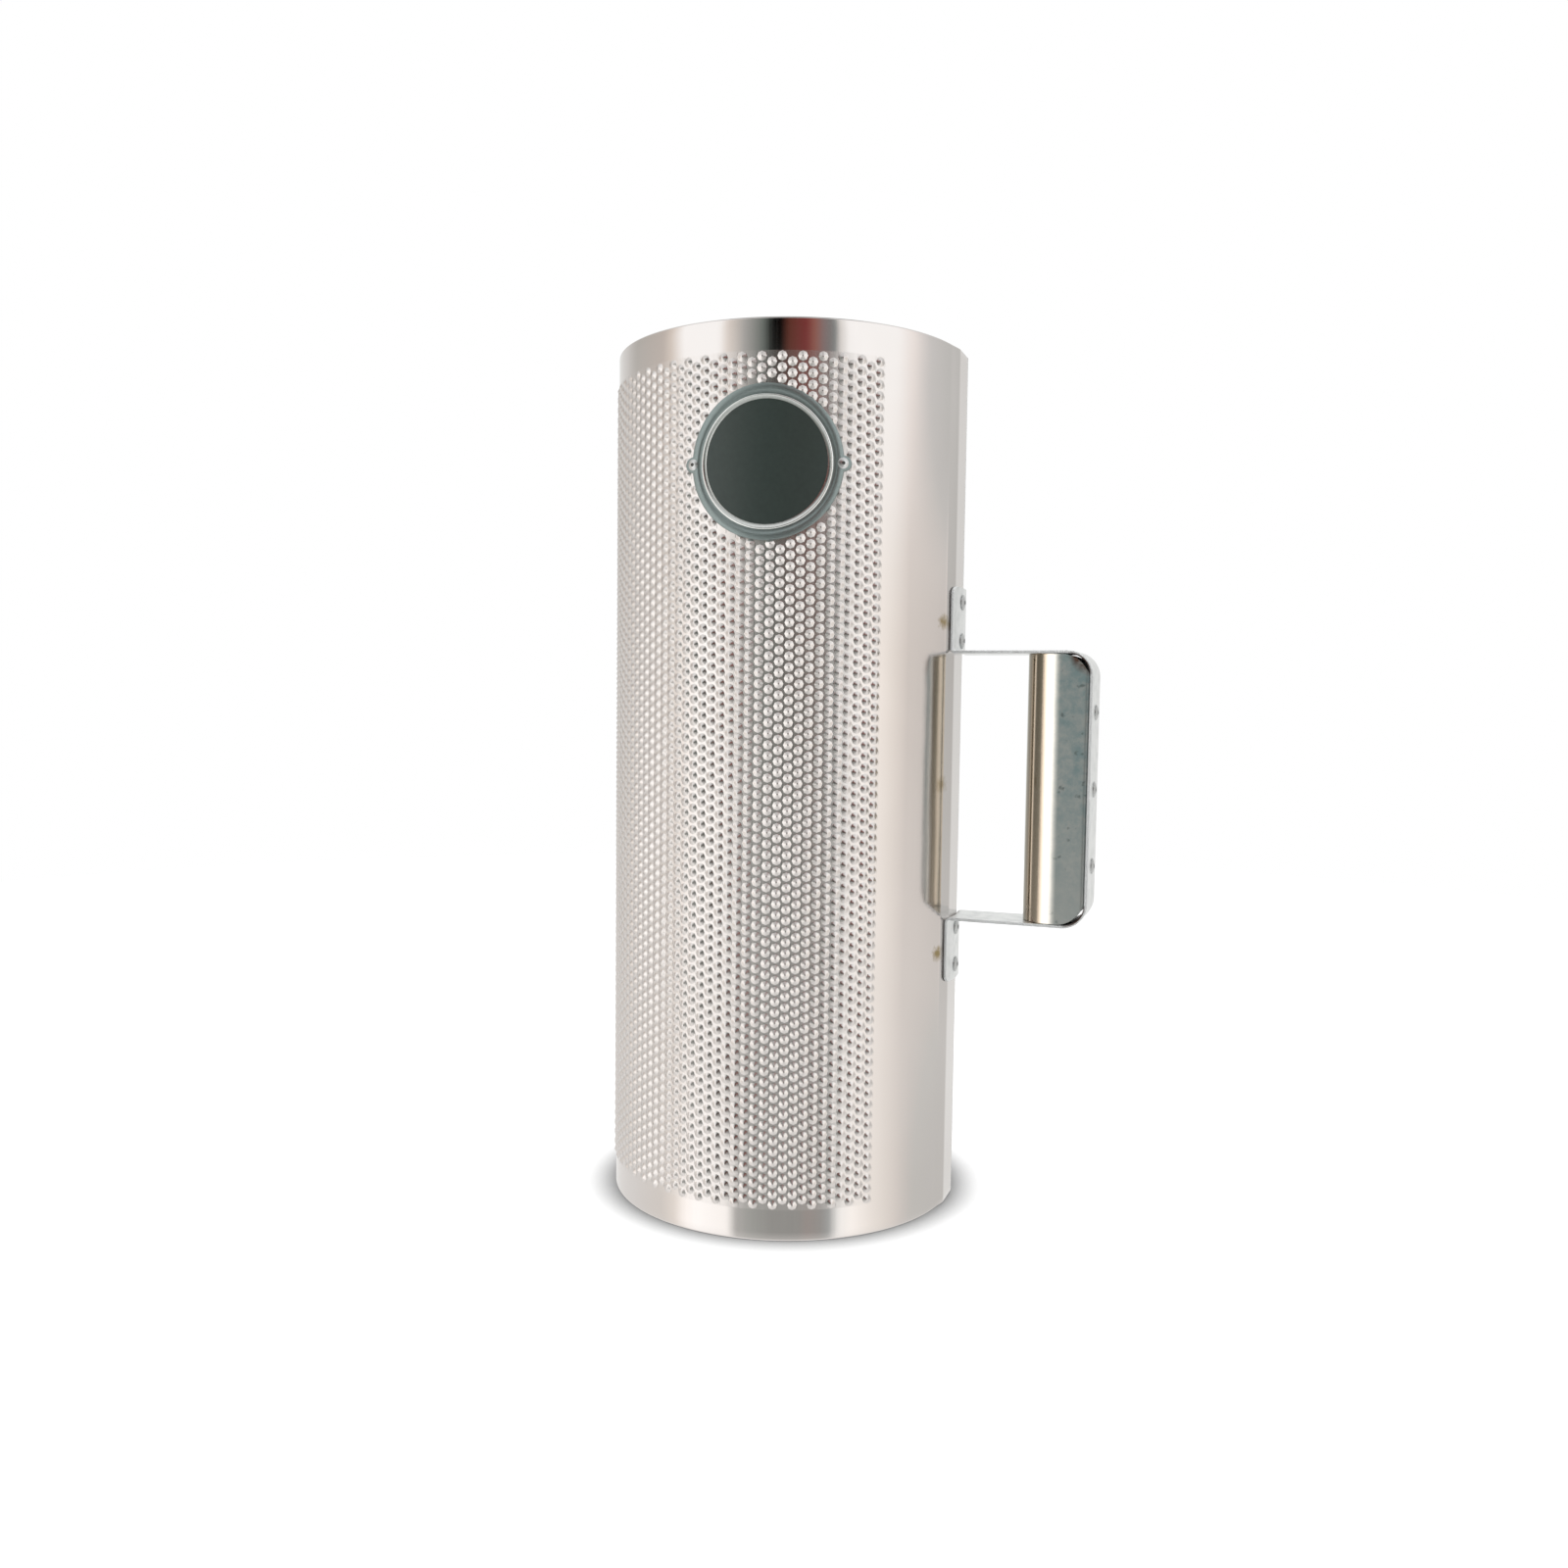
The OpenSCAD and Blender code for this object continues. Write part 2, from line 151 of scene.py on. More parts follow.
class GuiroBodySizes(bpy.types.PropertyGroup):
    """Sizes of the tube, its hems, its lap and its scraping field."""

    hem: length("Hem", "Height of the hem folded inwards at each rim", 8 * MM)
    margin: length("Margin", "Plain margin between each rim and the scraping field", 12.2 * MM)
    field_edge: angle("Field edge", "Angle from the handle to each edge of the scraping field", 41.8)
    columns: IntProperty(name="Columns", description="Columns of bumps round the tube", default=93, min=5)
    rows: IntProperty(name="Rows", description="Bumps in each full column", default=78, min=2)
    field_parts: IntProperty(name="Field parts", description="Pieces the field is made in", default=5, min=1)
    bump_r: length("Bump radius", "Radius of a bump at its foot", 2 * MM)
    bump_h: length("Bump height", "Height of a bump above the sheet", 0.78 * MM)
    dimple_r: length("Dimple radius", "Radius of the dimple behind each bump", 1.4 * MM)
    dimple_h: length("Dimple depth", "Depth of the dimple behind each bump", 0.6 * MM)
    lap_edge_r: length("Lap edge", "Rounding of the lap's free edge", 0.25 * MM)
    lap_climb: angle("Lap climb", "Angle at which the outer sheet starts to climb over the lap", 11)
    lap_sink: length("Lap sink", "How far the middle of the flattened lap lies below the round", 0.18 * MM)
    peak_from: angle("Peak from", "Angle from the handle at which the rolled sheet's flat end starts", 31)
    peak_h: length("Peak", "How far the sheet's flat end would rise above the round at the lap", 4 * MM)
    peak_fade: length("Peak's fade", "Height over which each rim brings the sheet back to round", 90 * MM)


class GuiroHandleSizes(bpy.types.PropertyGroup):
    """Sizes of the bent strap and of the grip's sleeve."""

    web_bend_r: length("Web bend", "Outer radius of the bends between the arms and the web", 10 * MM)
    tab_bend_r: length("Tab bend", "Inner radius of the bends between the arms and the tabs", 0.8 * MM)
    tab_corner_r: length("Tab corner", "Rounding of the tabs' free corners", 3 * MM)
    tab_press: length("Tab press", "How far the tabs' long edges are pressed down onto the sheet", 0.36 * MM)
    strap_edge_r: length("Strap edge", "Rounding of the strap's long edges", 0.5 * MM)
    sleeve_t: length("Sleeve sheet", "Thickness of the sleeve's sheet", 1 * MM)
    sleeve_clear: length("Sleeve clearance", "Clearance between the sleeve and the arms", 0.1 * MM)
    sleeve_corner_r: length("Sleeve corner", "Rounding of the sleeve's corners beside the bends", 11.2 * MM)
    sleeve_edge: length("Sleeve edge", "Chamfer of the sleeve's cut ends", 0.2 * MM)
    nose_l: length("Nose", "Length of the sleeve's rounded nose", 14.2 * MM)
    lip_gap: length("Lip gap", "Opening between the sleeve's lip and its far leg", 3 * MM)
    lip_bend_r: length("Lip bend", "Outer radius of the bend between the lip and its leg", 1.6 * MM)


class GuiroBadgeSizes(bpy.types.PropertyGroup):
    """Sizes of the badge's bezel, ring and ears."""

    ring_w: length("Ring", "Width of the bright ring round the enamel", 2 * MM)
    groove_w: length("Groove", "Width of the sloping groove outside the ring", 1.5 * MM)
    groove_h: length("Groove depth", "Depth of the groove below the plate's face", 0.4 * MM)
    crown_h: length("Crown", "Height of the rim's slight crown above the plate's face", 0.12 * MM)
    edge_r: length("Edge", "Rounding of the badge's edge", 0.35 * MM)
    ear_r: length("Ear", "Radius of the ear round each badge rivet", 2.9 * MM)
    enamel_dome: length("Enamel dome", "Height of the enamel's dome", 0.12 * MM)


class GuiroRivetSizes(bpy.types.PropertyGroup):
    """Sizes of the set blind rivets."""

    shank_d: length("Shank", "Shank diameter of the tab and grip rivets", 3.2 * MM)
    head_d: length("Head", "Head diameter of the tab and grip rivets", 6.4 * MM)
    head_h: length("Head height", "Head height of the tab and grip rivets", 1.1 * MM)
    badge_shank_d: length("Badge shank", "Shank diameter of the badge rivets", 2.4 * MM)
    badge_head_d: length("Badge head", "Head diameter of the badge rivets", 4.2 * MM)
    badge_head_h: length("Badge head height", "Head height of the badge rivets", 0.8 * MM)
    seat_gap: length("Seat gap", "Gap between the bulb and the sheet it grips", 0.1 * MM)
    stem_clear: length("Stem clearance", "Clearance between the snapped stem and the rivet", 0.05 * MM)


class GuiroFinishColours(bpy.types.PropertyGroup):
    """Colours of the finishes."""

    sheet: colour("Sheet", "Rolled stainless sheet of the tube", "#dbd7d5")
    sheet_dull: colour("Dull sheet", "Duller patches of the stainless sheet", "#d2cecb")
    # Straw tint in small ovals beside the lap, level with the tab rivets and the handle's middle
    straw_tint: colour("Heat tint", "Straw tint beside the handle's rivets", "#8c7a44")
    strap: colour("Strap", "Bright zinc plate of the strap", "#f2f4f4")
    strap_dull: colour("Dull strap", "Duller spangle of the zinc plate", "#e2e5e5")
    strap_edge: colour("Strap edge", "Dull sheared edges of the strap", "#bcbebe")
    # Painted shade: brown darkening of the strap's inner bends, where shade falls
    painted_bend_shade: colour("Crevice", "Brown grime in the strap's inner bends", "#3b2a22")
    sleeve: colour("Sleeve", "Worn nose of the grip's sleeve", "#dbcdba")
    # Painted shade: darker colour on the tip of the sleeve's nose, which faces the tube
    sleeve_tip_shade: colour("Sleeve tip", "Dull tip of the sleeve's nose, which faces the tube", "#a5a296")
    # Painted highlight: a bright strip between the sleeve's nose and its legs
    sleeve_highlight: colour("Rubbed sleeve", "Bright metal between the worn nose and the legs", "#ece8e0")
    sleeve_plain: colour("Sleeve plate", "Zinc plate of the sleeve's legs", "#a4a7a4")
    sleeve_tint: colour("Sleeve tint", "Blue-green passivation on the sleeve's legs", "#819394")
    sleeve_speck: colour("Sleeve speck", "Dark specks in the sleeve's plate", "#586463")
    # Painted shade: brown darkening in the sleeve's upper corner beside the strap's bend
    sleeve_corner_shade: colour("Sleeve stain", "Rusty stain in the sleeve's upper corner", "#5a3a2a")
    bezel: colour("Bezel", "Grey lacquer on the badge's bezel", "#838e8d")
    ring: colour("Ring", "Bare metal of the badge's ring", "#e2e5e3")
    enamel: colour("Enamel", "Dark enamel of the badge's field", "#2a322f")
    rivet: colour("Rivet", "Bare aluminium of the rivets", "#c9cbcb")
    mandrel: colour("Mandrel", "Snapped steel stem in each rivet", "#5b5a58")
    floor: colour("Floor", "Pale paper that the guiro stands on", "#f4f4f4")


class GuiroStageSettings(bpy.types.PropertyGroup):
    """Camera and light of the stage."""

    azimuth: angle("Azimuth", "Angle of the camera round the tube, from square to the handle", 20.2)
    distance: length("Distance", "Distance of the camera from the tube's axis", 0.563)
    height: length("Height", "Height of the camera above the floor", 0.208)
    pitch: angle("Pitch", "How far the camera looks down", 3.684)
    yaw: angle("Yaw", "How far the camera looks right of the tube's axis", -0.183)
    roll: angle("Roll", "How far the camera leans", 0.716)
    lens: FloatProperty(name="Lens", description="Focal length on a 36 mm frame", default=29.96, min=1.0,
                        unit="CAMERA", subtype="DISTANCE_CAMERA")
    softbox: FloatProperty(name="Softbox", description="Brightness of the softboxes that the metal mirrors",
                           default=1.6, min=0.0)
    ambient: FloatProperty(name="Ambient", description="Even light on matt surfaces", default=0.5, min=0.0)


# Surfaces

def grid_faces(rows, columns, close_rows=False, close_columns=False):
    """Quads of a grid of points numbered row by row: each joins a point to its next in row and column."""
    row = np.arange(rows if close_rows else rows - 1)[:, None]
    column = np.arange(columns if close_columns else columns - 1)[None, :]
    next_row = (row + 1) % rows
    next_column = (column + 1) % columns
    corners = (row * columns + column, row * columns + next_column,
               next_row * columns + next_column, next_row * columns + column)
    return np.stack(np.broadcast_arrays(*corners), axis=-1).reshape(-1, 4)


def edge_walls(number, behind):
    """Quads that close a sheet round the border of a grid of point numbers, to the numbers behind them."""
    border = np.concatenate([number[0, :-1], number[:-1, -1], number[-1, :0:-1], number[:0:-1, 0]])
    back = np.concatenate([behind[0, :-1], behind[:-1, -1], behind[-1, :0:-1], behind[:0:-1, 0]])
    return np.stack([border, back, np.roll(back, -1), np.roll(border, -1)], axis=-1)


def two_faced(outer, inner):
    """A sheet between two grids of points of one shape: its outer face, its inner face and its edges."""
    rows, columns = outer.shape[:2]
    number = np.arange(rows * columns).reshape(rows, columns)
    face = grid_faces(rows, columns)
    points = np.concatenate([outer.reshape(-1, 3), inner.reshape(-1, 3)])
    return points, [face, face[:, ::-1] + number.size, edge_walls(number, number + number.size)]


def round_tube(radius, angles, heights):
    """Points at a distance from the tube's axis, turned by an angle about it and raised to a height."""
    radius, angles, heights = np.broadcast_arrays(radius, angles, heights)
    return np.stack([radius * np.cos(angles), radius * np.sin(angles), heights], axis=-1)


def turned(profile, sides, axes, seat):
    """A closed profile of radius and height, turned once about its axis and stood on its seat.

    Each point is radius times the cosine and sine of the turn along the first two axes, and the height along
    the third."""
    turn = np.linspace(0, 2 * np.pi, sides, endpoint=False)
    radius, height = profile[:, :1], profile[:, 1:]
    local = np.stack(np.broadcast_arrays(radius * np.cos(turn), radius * np.sin(turn), height), axis=-1)
    return local.reshape(-1, 3) @ axes + seat, [grid_faces(len(profile), sides, True, True)]


def arc(centre, radius, start, end, steps):
    """Points of a circle from one angle to another, in a plane."""
    turn = np.linspace(start, end, steps)
    return np.stack([centre[0] + radius * np.cos(turn), centre[1] + radius * np.sin(turn)], axis=-1)


# Angle between two faces from which the edge that they share is sharp
CREASE = math.radians(40)


def add_piece(name, shape, finish, nodes, normals=None):
    """Makes a piece of the object from points and faces, smooth up to a crease or with the given normals."""
    points, faces = shape
    corners = np.concatenate([rows.ravel() for rows in faces])
    counts = np.concatenate([np.full(len(rows), rows.shape[1]) for rows in faces])
    mesh = bpy.data.meshes.new(name)
    mesh.vertices.add(len(points))
    mesh.vertices.foreach_set("co", points.astype(np.float32).ravel())
    mesh.loops.add(len(corners))
    mesh.loops.foreach_set("vertex_index", corners.astype(np.int32))
    mesh.polygons.add(len(counts))
    mesh.polygons.foreach_set("loop_start", (np.cumsum(counts) - counts).astype(np.int32))
    mesh.polygons.foreach_set("use_smooth", np.ones(len(counts), bool))
    mesh.update(calc_edges=True)
    if mesh.validate():
        raise RuntimeError(f"{name} has faces that Blender had to repair")
    if normals is None:
        mesh.set_sharp_from_angle(angle=CREASE)
    else:
        mesh.normals_split_custom_set_from_vertices(normals.astype(np.float32))
    mesh.materials.append(finish)
    piece = bpy.data.objects.new(name, mesh)
    bpy.context.scene.collection.objects.link(piece)
    if nodes:
        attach(piece, BODY)
        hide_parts(*nodes)
    return piece


# Finishes

def add_node(tree, kind, inputs=(), output=0, **settings):
    """Adds a shader node and gives back one of its outputs, or the node itself where it has none.

    Settings are its own properties, and inputs give each socket a value or the output that feeds it."""
    made = tree.nodes.new("ShaderNode" + kind)
    for name, value in settings.items():
        setattr(made, name, value)
    for socket, value in dict(inputs).items():
        if isinstance(value, bpy.types.NodeSocket):
            tree.links.new(value, made.inputs[socket])
        else:
            made.inputs[socket].default_value = value
    return made.outputs[output] if made.outputs else made


def set_stops(ramp, stops):
    """Gives a colour ramp its stops, each a place from 0 to 1 and a linear colour with its alpha."""
    elements = ramp.color_ramp.elements
    while len(elements) < len(stops):
        elements.new(1.0)
    for element, (place, shade) in zip(elements, stops):
        element.position = place
        element.color = shade


def new_finish(name):
    """A material with no nodes yet, and its tree."""
    finish = bpy.data.materials.new(name)
    finish.use_nodes = True
    finish.node_tree.nodes.clear()
    return finish, finish.node_tree


def lay_surface(tree, sockets):
    """Ends a finish's tree with its one shader, whose sockets get these values and outputs."""
    add_node(tree, "OutputMaterial", {"Surface": add_node(tree, "BsdfPrincipled", sockets)})


def per_mm(size_mm):
    """Scale of a pattern on Object coordinates whose features are this many millimetres across."""
    return 1000 / size_mm


def opaque(shade):
    """A colour as a socket takes it: an output as it is, or three linear values with an alpha of 1."""
    return shade if isinstance(shade, bpy.types.NodeSocket) else (*shade, 1.0)


def layered(tree, shade, *layers):
    """A colour laid on in layers: each covers the one before by an amount from 0 to 1 with a colour."""
    for amount, cover in layers:
        shade = add_node(tree, "Mix", {0: amount, 6: opaque(shade), 7: opaque(cover)}, output=2,
                         data_type="RGBA")
    return shade


def mottled(tree, shade, pattern, low, high):
    """A colour whose brightness goes from a low to a high share of itself as a pattern goes from 0 to 1."""
    tone = add_node(tree, "MapRange", {"Value": pattern, "To Min": low, "To Max": high})
    return add_node(tree, "VectorMath", {0: shade, 1: tone}, operation="MULTIPLY")


def seam_peak(tree, place, body):
    """Normals of a sheet whose rolled ends stay flat, so that it rises to a peak at the lap.

    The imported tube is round, so this is given as a bump. Its height is the square of the way from the flat
    end's start to the lap, and the hems bring it back to nothing at the rims."""
    parts = add_node(tree, "SeparateXYZ", {0: place}).node.outputs
    turn = add_node(tree, "Math", {0: parts["Y"], 1: parts["X"]}, operation="ARCTAN2")
    turn = add_node(tree, "Math", {0: turn}, operation="ABSOLUTE")
    way = add_node(tree, "MapRange", {"Value": turn, "From Min": body.peak_from, "From Max": body.lap_climb})
    height = add_node(tree, "Math", {0: way, 1: 2.0}, operation="POWER")
    to_rim = add_node(tree, "Math", {0: parts["Z"], 1: TUBE_H / 2}, operation="PINGPONG")
    fade = add_node(tree, "MapRange", {"Value": to_rim, "From Min": body.margin,
                                       "From Max": body.margin + body.peak_fade},
                    interpolation_type="SMOOTHSTEP")
    height = add_node(tree, "Math", {0: height, 1: fade}, operation="MULTIPLY")
    return add_node(tree, "Bump", {"Height": height, "Strength": 1.0, "Distance": body.peak_h})


# Straw-tinted marks on the sheet beside the lap: each one's height above the handle's middle and its depth
TINT_MARKS = ((65.5 * MM, 0.85), (1 * MM, 0.5), (-67.5 * MM, 0.85))
# How far aside of the lap they lie, and the millimetres that each of their ovals reaches along X, Y and Z
TINT_ASIDE = 8.7 * MM
TINT_OVAL_MM = (6, 6, 4.2)


def tint_marks(tree, place, tint):
    """Layers of straw tint, one to a mark: an oval whose edge is ragged by a noise.

    Each mark fades with the distance from its middle, counted in ovals, plus the noise."""
    ragged = add_node(tree, "TexNoise", {"Vector": place, "Scale": per_mm(2.2), "Detail": 2.0})
    turn = -LAP_HALF - TINT_ASIDE / TUBE_R
    layers = []
    for rise, depth in TINT_MARKS:
        middle = Vector((math.cos(turn) * TUBE_R, math.sin(turn) * TUBE_R, HANDLE_Z + rise))
        oval = add_node(tree, "VectorMath", {0: place, 1: middle}, operation="SUBTRACT")
        oval = add_node(tree, "VectorMath", {0: oval, 1: [per_mm(size) for size in TINT_OVAL_MM]},
                        operation="MULTIPLY")
        reach = add_node(tree, "VectorMath", {0: oval}, output="Value", operation="LENGTH")
        reach = add_node(tree, "Math", {0: reach, 1: ragged}, operation="ADD")
        layers.append((add_node(tree, "MapRange", {"Value": reach, "From Min": 0.7, "From Max": 1.4,
                                                   "To Min": depth, "To Max": 0.0}), tint))
    return layers


def rolled_stainless(name, context, rough_low, rough_high):
    """Bright rolled stainless sheet, which is duller where bumps are pressed into it.

    It mirrors the studio softly, with a fine upright rolling grain that streaks the mirror image, a slow wave
    where the sheet isn't quite flat, and a straw tint in small marks beside the lap."""
    colours = context.scene.guiro_colours
    finish, tree = new_finish(name)
    place = add_node(tree, "TexCoord", output="Object")
    # Real grain is too fine to show in the render, so it is drawn about a millimetre wide
    grain_at = add_node(tree, "Mapping", {"Vector": place, "Scale": (per_mm(0.9), per_mm(0.9), per_mm(60))})
    grain = add_node(tree, "TexNoise", {"Vector": grain_at, "Scale": 1.0, "Detail": 3.0})
    cloud = add_node(tree, "TexNoise", {"Vector": place, "Scale": per_mm(45), "Detail": 2.0})
    wave = add_node(tree, "TexNoise", {"Vector": place, "Scale": per_mm(22), "Detail": 1.0})
    rough = add_node(tree, "MapRange", {"Value": grain, "From Min": 0.3, "From Max": 0.7,
                                        "To Min": rough_low, "To Max": rough_high})
    shade = layered(tree, colours.sheet, (cloud, colours.sheet_dull),
                    *tint_marks(tree, place, colours.straw_tint))
    peak = seam_peak(tree, place, context.scene.guiro_body)
    waved = add_node(tree, "Bump", {"Height": wave, "Strength": 0.25, "Distance": 0.3 * MM, "Normal": peak})
    grained = add_node(tree, "Bump", {"Height": grain, "Strength": 0.12, "Distance": 0.02 * MM,
                                      "Normal": waved})
    lay_surface(tree, {"Base Color": shade, "Metallic": 1.0, "Roughness": rough, "Normal": grained})
    return finish


# Strap point attributes: how deep in a web bend one lies for its painted shade, from 0 to 1, and 1 on sheared
# edges
SHADE_IN_BENDS = "painted_bend_shade"
SHEARED = "sheared"


def plate_ripple(tree, place):
    """Normals of thin plated sheet, which ripples slowly and bends what it mirrors a little."""
    ripple = add_node(tree, "TexNoise", {"Vector": place, "Scale": per_mm(9), "Detail": 1.0})
    return add_node(tree, "Bump", {"Height": ripple, "Strength": 0.2, "Distance": 0.05 * MM})


def zinc_plate(colours):
    """Strap steel with a thin bright zinc plate, which mirrors the studio softly.

    Faint spangles dull the plate here and there, its sheared edges are dull and grey, and brown painted shade
    darkens the inner faces of the web's bends."""
    finish, tree = new_finish("bright_zinc_plate")
    place = add_node(tree, "TexCoord", output="Object")
    sheared = add_node(tree, "Attribute", output="Fac", attribute_name=SHEARED)
    painted_shade = add_node(tree, "Attribute", output="Fac", attribute_name=SHADE_IN_BENDS)
    blotch = add_node(tree, "TexNoise",
                      {"Vector": place, "Scale": per_mm(5), "Detail": 5.0, "Roughness": 0.6})
    spangle = add_node(tree, "MapRange", {"Value": blotch, "From Min": 0.45, "From Max": 0.7})
    # The last layer is painted shade, brown, in the web's inner bends
    shade = layered(tree, colours.strap, (spangle, colours.strap_dull), (sheared, colours.strap_edge),
                    (painted_shade, colours.painted_bend_shade))
    metallic = add_node(tree, "Math", {0: sheared, 1: -0.5, 2: 1.0}, operation="MULTIPLY_ADD")
    rough = add_node(tree, "MapRange", {"Value": blotch, "From Min": 0.35, "From Max": 0.7,
                                        "To Min": 0.3, "To Max": 0.4})
    rough = add_node(tree, "Math", {0: sheared, 1: 0.25, 2: rough}, operation="MULTIPLY_ADD")
    lay_surface(tree, {"Base Color": shade, "Metallic": metallic, "Roughness": rough,
                       "Normal": plate_ripple(tree, place)})
    return finish


def passivated_sleeve(colours, handle):
    """Zinc plate with a blue-green passivation, and warmer metal on the nose, with painted shade on its tip.

    The flat legs have a satin sheen and a cool tint that lies in cloudy blotches, thinner towards the lower
    end, with a few dark specks and painted shade in the upper corner. A painted highlight strip lies between
    the nose and the legs, and the nose mirrors the studio."""
    finish, tree = new_finish("blue_passivated_zinc_plate")
    place = add_node(tree, "TexCoord", output="Object")
    parts = add_node(tree, "SeparateXYZ", {0: place}).node.outputs
    blotch = add_node(tree, "TexNoise",
                      {"Vector": place, "Scale": per_mm(6), "Detail": 6.0, "Roughness": 0.7})
    speck = add_node(tree, "TexNoise", {"Vector": place, "Scale": per_mm(3.4), "Detail": 2.0})
    dark = add_node(tree, "MapRange", {"Value": speck, "From Min": 0.66, "From Max": 0.74, "To Max": 0.7})
    cloud = add_node(tree, "MapRange", {"Value": blotch, "From Min": 0.38, "From Max": 0.62, "To Min": 0.2})
    high = add_node(tree, "MapRange", {"Value": parts["Z"], "From Min": SLEEVE_LOW.z,
                                       "From Max": HANDLE_Z + 10 * MM, "To Min": 0.2})
    tint = add_node(tree, "Math", {0: cloud, 1: high}, operation="MULTIPLY")

    # The painted corner shade follows the product of how far a point lies along the corner's rounding both
    # ways
    corner_r = handle.sleeve_corner_r
    corner = Vector((SLEEVE_HIGH.x - corner_r, 0, HANDLE_Z + SLEEVE_HALF - corner_r))
    aside = add_node(tree, "VectorMath", {0: place, 1: corner}, operation="SUBTRACT")
    aside = add_node(tree, "VectorMath", {0: aside, 1: (0, 0, 0)}, operation="MAXIMUM")
    ways = add_node(tree, "SeparateXYZ", {0: aside}).node.outputs
    both = add_node(tree, "Math", {0: ways["X"], 1: ways["Z"]}, operation="MULTIPLY")
    corner_shade = add_node(tree, "MapRange", {"Value": both, "From Min": 0.2 * corner_r ** 2,
                                          "From Max": 0.42 * corner_r ** 2})
    corner_shade = add_node(tree, "Math", {0: corner_shade, 1: cloud}, operation="MULTIPLY")

    # Along X the tip's painted shade gives way to the nose, that to a painted highlight strip, and that to
    # the flat legs
    tip_x, leg_x = SLEEVE_LOW.x, SLEEVE_LOW.x + handle.nose_l
    changes = ((tip_x + 1 * MM, tip_x + 4 * MM),
               (leg_x - 0.42 * handle.nose_l, leg_x - 0.34 * handle.nose_l),
               (leg_x - 2.8 * MM, leg_x + 0.2 * MM))
    clear_of_tip_shade, highlight_strip, leg = [add_node(tree, "MapRange", {"Value": parts["X"], "From Min": start, "From Max": end})
                         for start, end in changes]
    legs = layered(tree, colours.sleeve_plain, (tint, colours.sleeve_tint), (dark, colours.sleeve_speck),
                   (corner_shade, colours.sleeve_corner_shade))
    shade = layered(tree, colours.sleeve_tip_shade, (clear_of_tip_shade, colours.sleeve), (highlight_strip, colours.sleeve_highlight),
                    (leg, legs))
    rough = add_node(tree, "MapRange", {"Value": blotch, "From Min": 0.35, "From Max": 0.7,
                                        "To Min": 0.07, "To Max": 0.15})
    rough = add_node(tree, "Math", {0: leg, 1: 0.38, 2: rough}, operation="MULTIPLY_ADD")
    lay_surface(tree, {"Base Color": shade, "Metallic": 1.0, "Roughness": rough,
                       "Normal": plate_ripple(tree, place)})
    return finish


# How much rougher or smoother a cast metal's grit makes it
GRIT_ROUGH = 0.08


def cast_metal(name, shade, roughness, metallic, grit_mm):
    """Die-cast or headed metal with a fine grit: a soft, even sheen that the grit breaks up a little."""
    finish, tree = new_finish(name)
    place = add_node(tree, "TexCoord", output="Object")
    # Real grit is too fine to show in the render, so it is drawn some tenths of a millimetre across
    grit = add_node(tree, "TexNoise", {"Vector": place, "Scale": per_mm(grit_mm), "Detail": 3.0})
    rough = add_node(tree, "MapRange", {"Value": grit, "To Min": roughness - GRIT_ROUGH,
                                        "To Max": roughness + GRIT_ROUGH})
    uneven = add_node(tree, "Bump", {"Height": grit, "Strength": 0.15, "Distance": 0.05 * MM})
    lay_surface(tree, {"Base Color": mottled(tree, shade, grit, 0.85, 1.12), "Metallic": metallic,
                       "Roughness": rough, "Normal": uneven})
    return finish


def dark_enamel(colours):
    """Stoved enamel: almost black, smooth and glossy, with an orange peel that softens its mirror image."""
    finish, tree = new_finish("dark_stoved_enamel")
    place = add_node(tree, "TexCoord", output="Object")
    peel = add_node(tree, "TexNoise", {"Vector": place, "Scale": per_mm(1.6), "Detail": 2.0})
    waved = add_node(tree, "Bump", {"Height": peel, "Strength": 0.15, "Distance": 0.04 * MM})
    lay_surface(tree, {"Base Color": mottled(tree, colours.enamel, peel, 0.85, 1.15), "Roughness": 0.32,
                       "Specular IOR Level": 0.35, "Normal": waved})
    return finish


# Tube

# Share of the climb over the lap on each side of a bend, within which its two points lie
BEND_SHARE = 0.02


def band_line(body):
    """Angles across the plain band, and how far the lap's outer sheet stands above the tube at each.

    The rise is nothing at first, climbs evenly as the outer sheet bends over the lap, follows the flattened
    lap, and turns down a quarter circle at its free edge to the step there. A flat lies at its distance from
    the axis over the cosine of the angle. Both bends are short, so points lie close beside them."""
    share = np.linspace(0, 1, 13)
    bend = np.array([-BEND_SHARE, BEND_SHARE]) * (body.lap_climb - LAP_HALF)
    turn = np.linspace(0, np.pi / 2, 5)
    corner = body.lap_edge_r / TUBE_R
    climb = share[1:-1]
    lap = np.linspace(-LAP_HALF + bend[1], LAP_HALF - corner, 9)[1:-1]
    flat_x = TUBE_R + SHEET - body.lap_sink
    high = flat_x / math.cos(LAP_HALF) - TUBE_R
    stretches = [
        (np.linspace(-body.field_edge, -body.lap_climb + bend[0], 25), 0.0),
        (-body.lap_climb + climb * (body.lap_climb - LAP_HALF), high * climb),
        (-LAP_HALF + bend, high * np.array([1 - BEND_SHARE, 1.0])),
        (lap, flat_x / np.cos(lap) - TUBE_R),
        (LAP_HALF - corner * (1 - np.sin(turn)), high - body.lap_edge_r * (1 - np.cos(turn))),
        (np.linspace(LAP_HALF, body.field_edge, 29), 0.0),
    ]
    angles = np.concatenate([stretch for stretch, _ in stretches])
    rises = np.concatenate([np.broadcast_to(rise, stretch.shape) for stretch, rise in stretches])
    return angles, rises


def field_angles(body):
    """Angles of the field's half columns, from one edge round the far side of the tube to the other."""
    return np.linspace(body.field_edge, 2 * np.pi - body.field_edge, 2 * body.columns + 1)


def field_heights(body):
    """Heights of the field's half rows, from the lower margin to the upper one."""
    return np.linspace(body.margin, TUBE_H - body.margin, 2 * body.rows + 1)


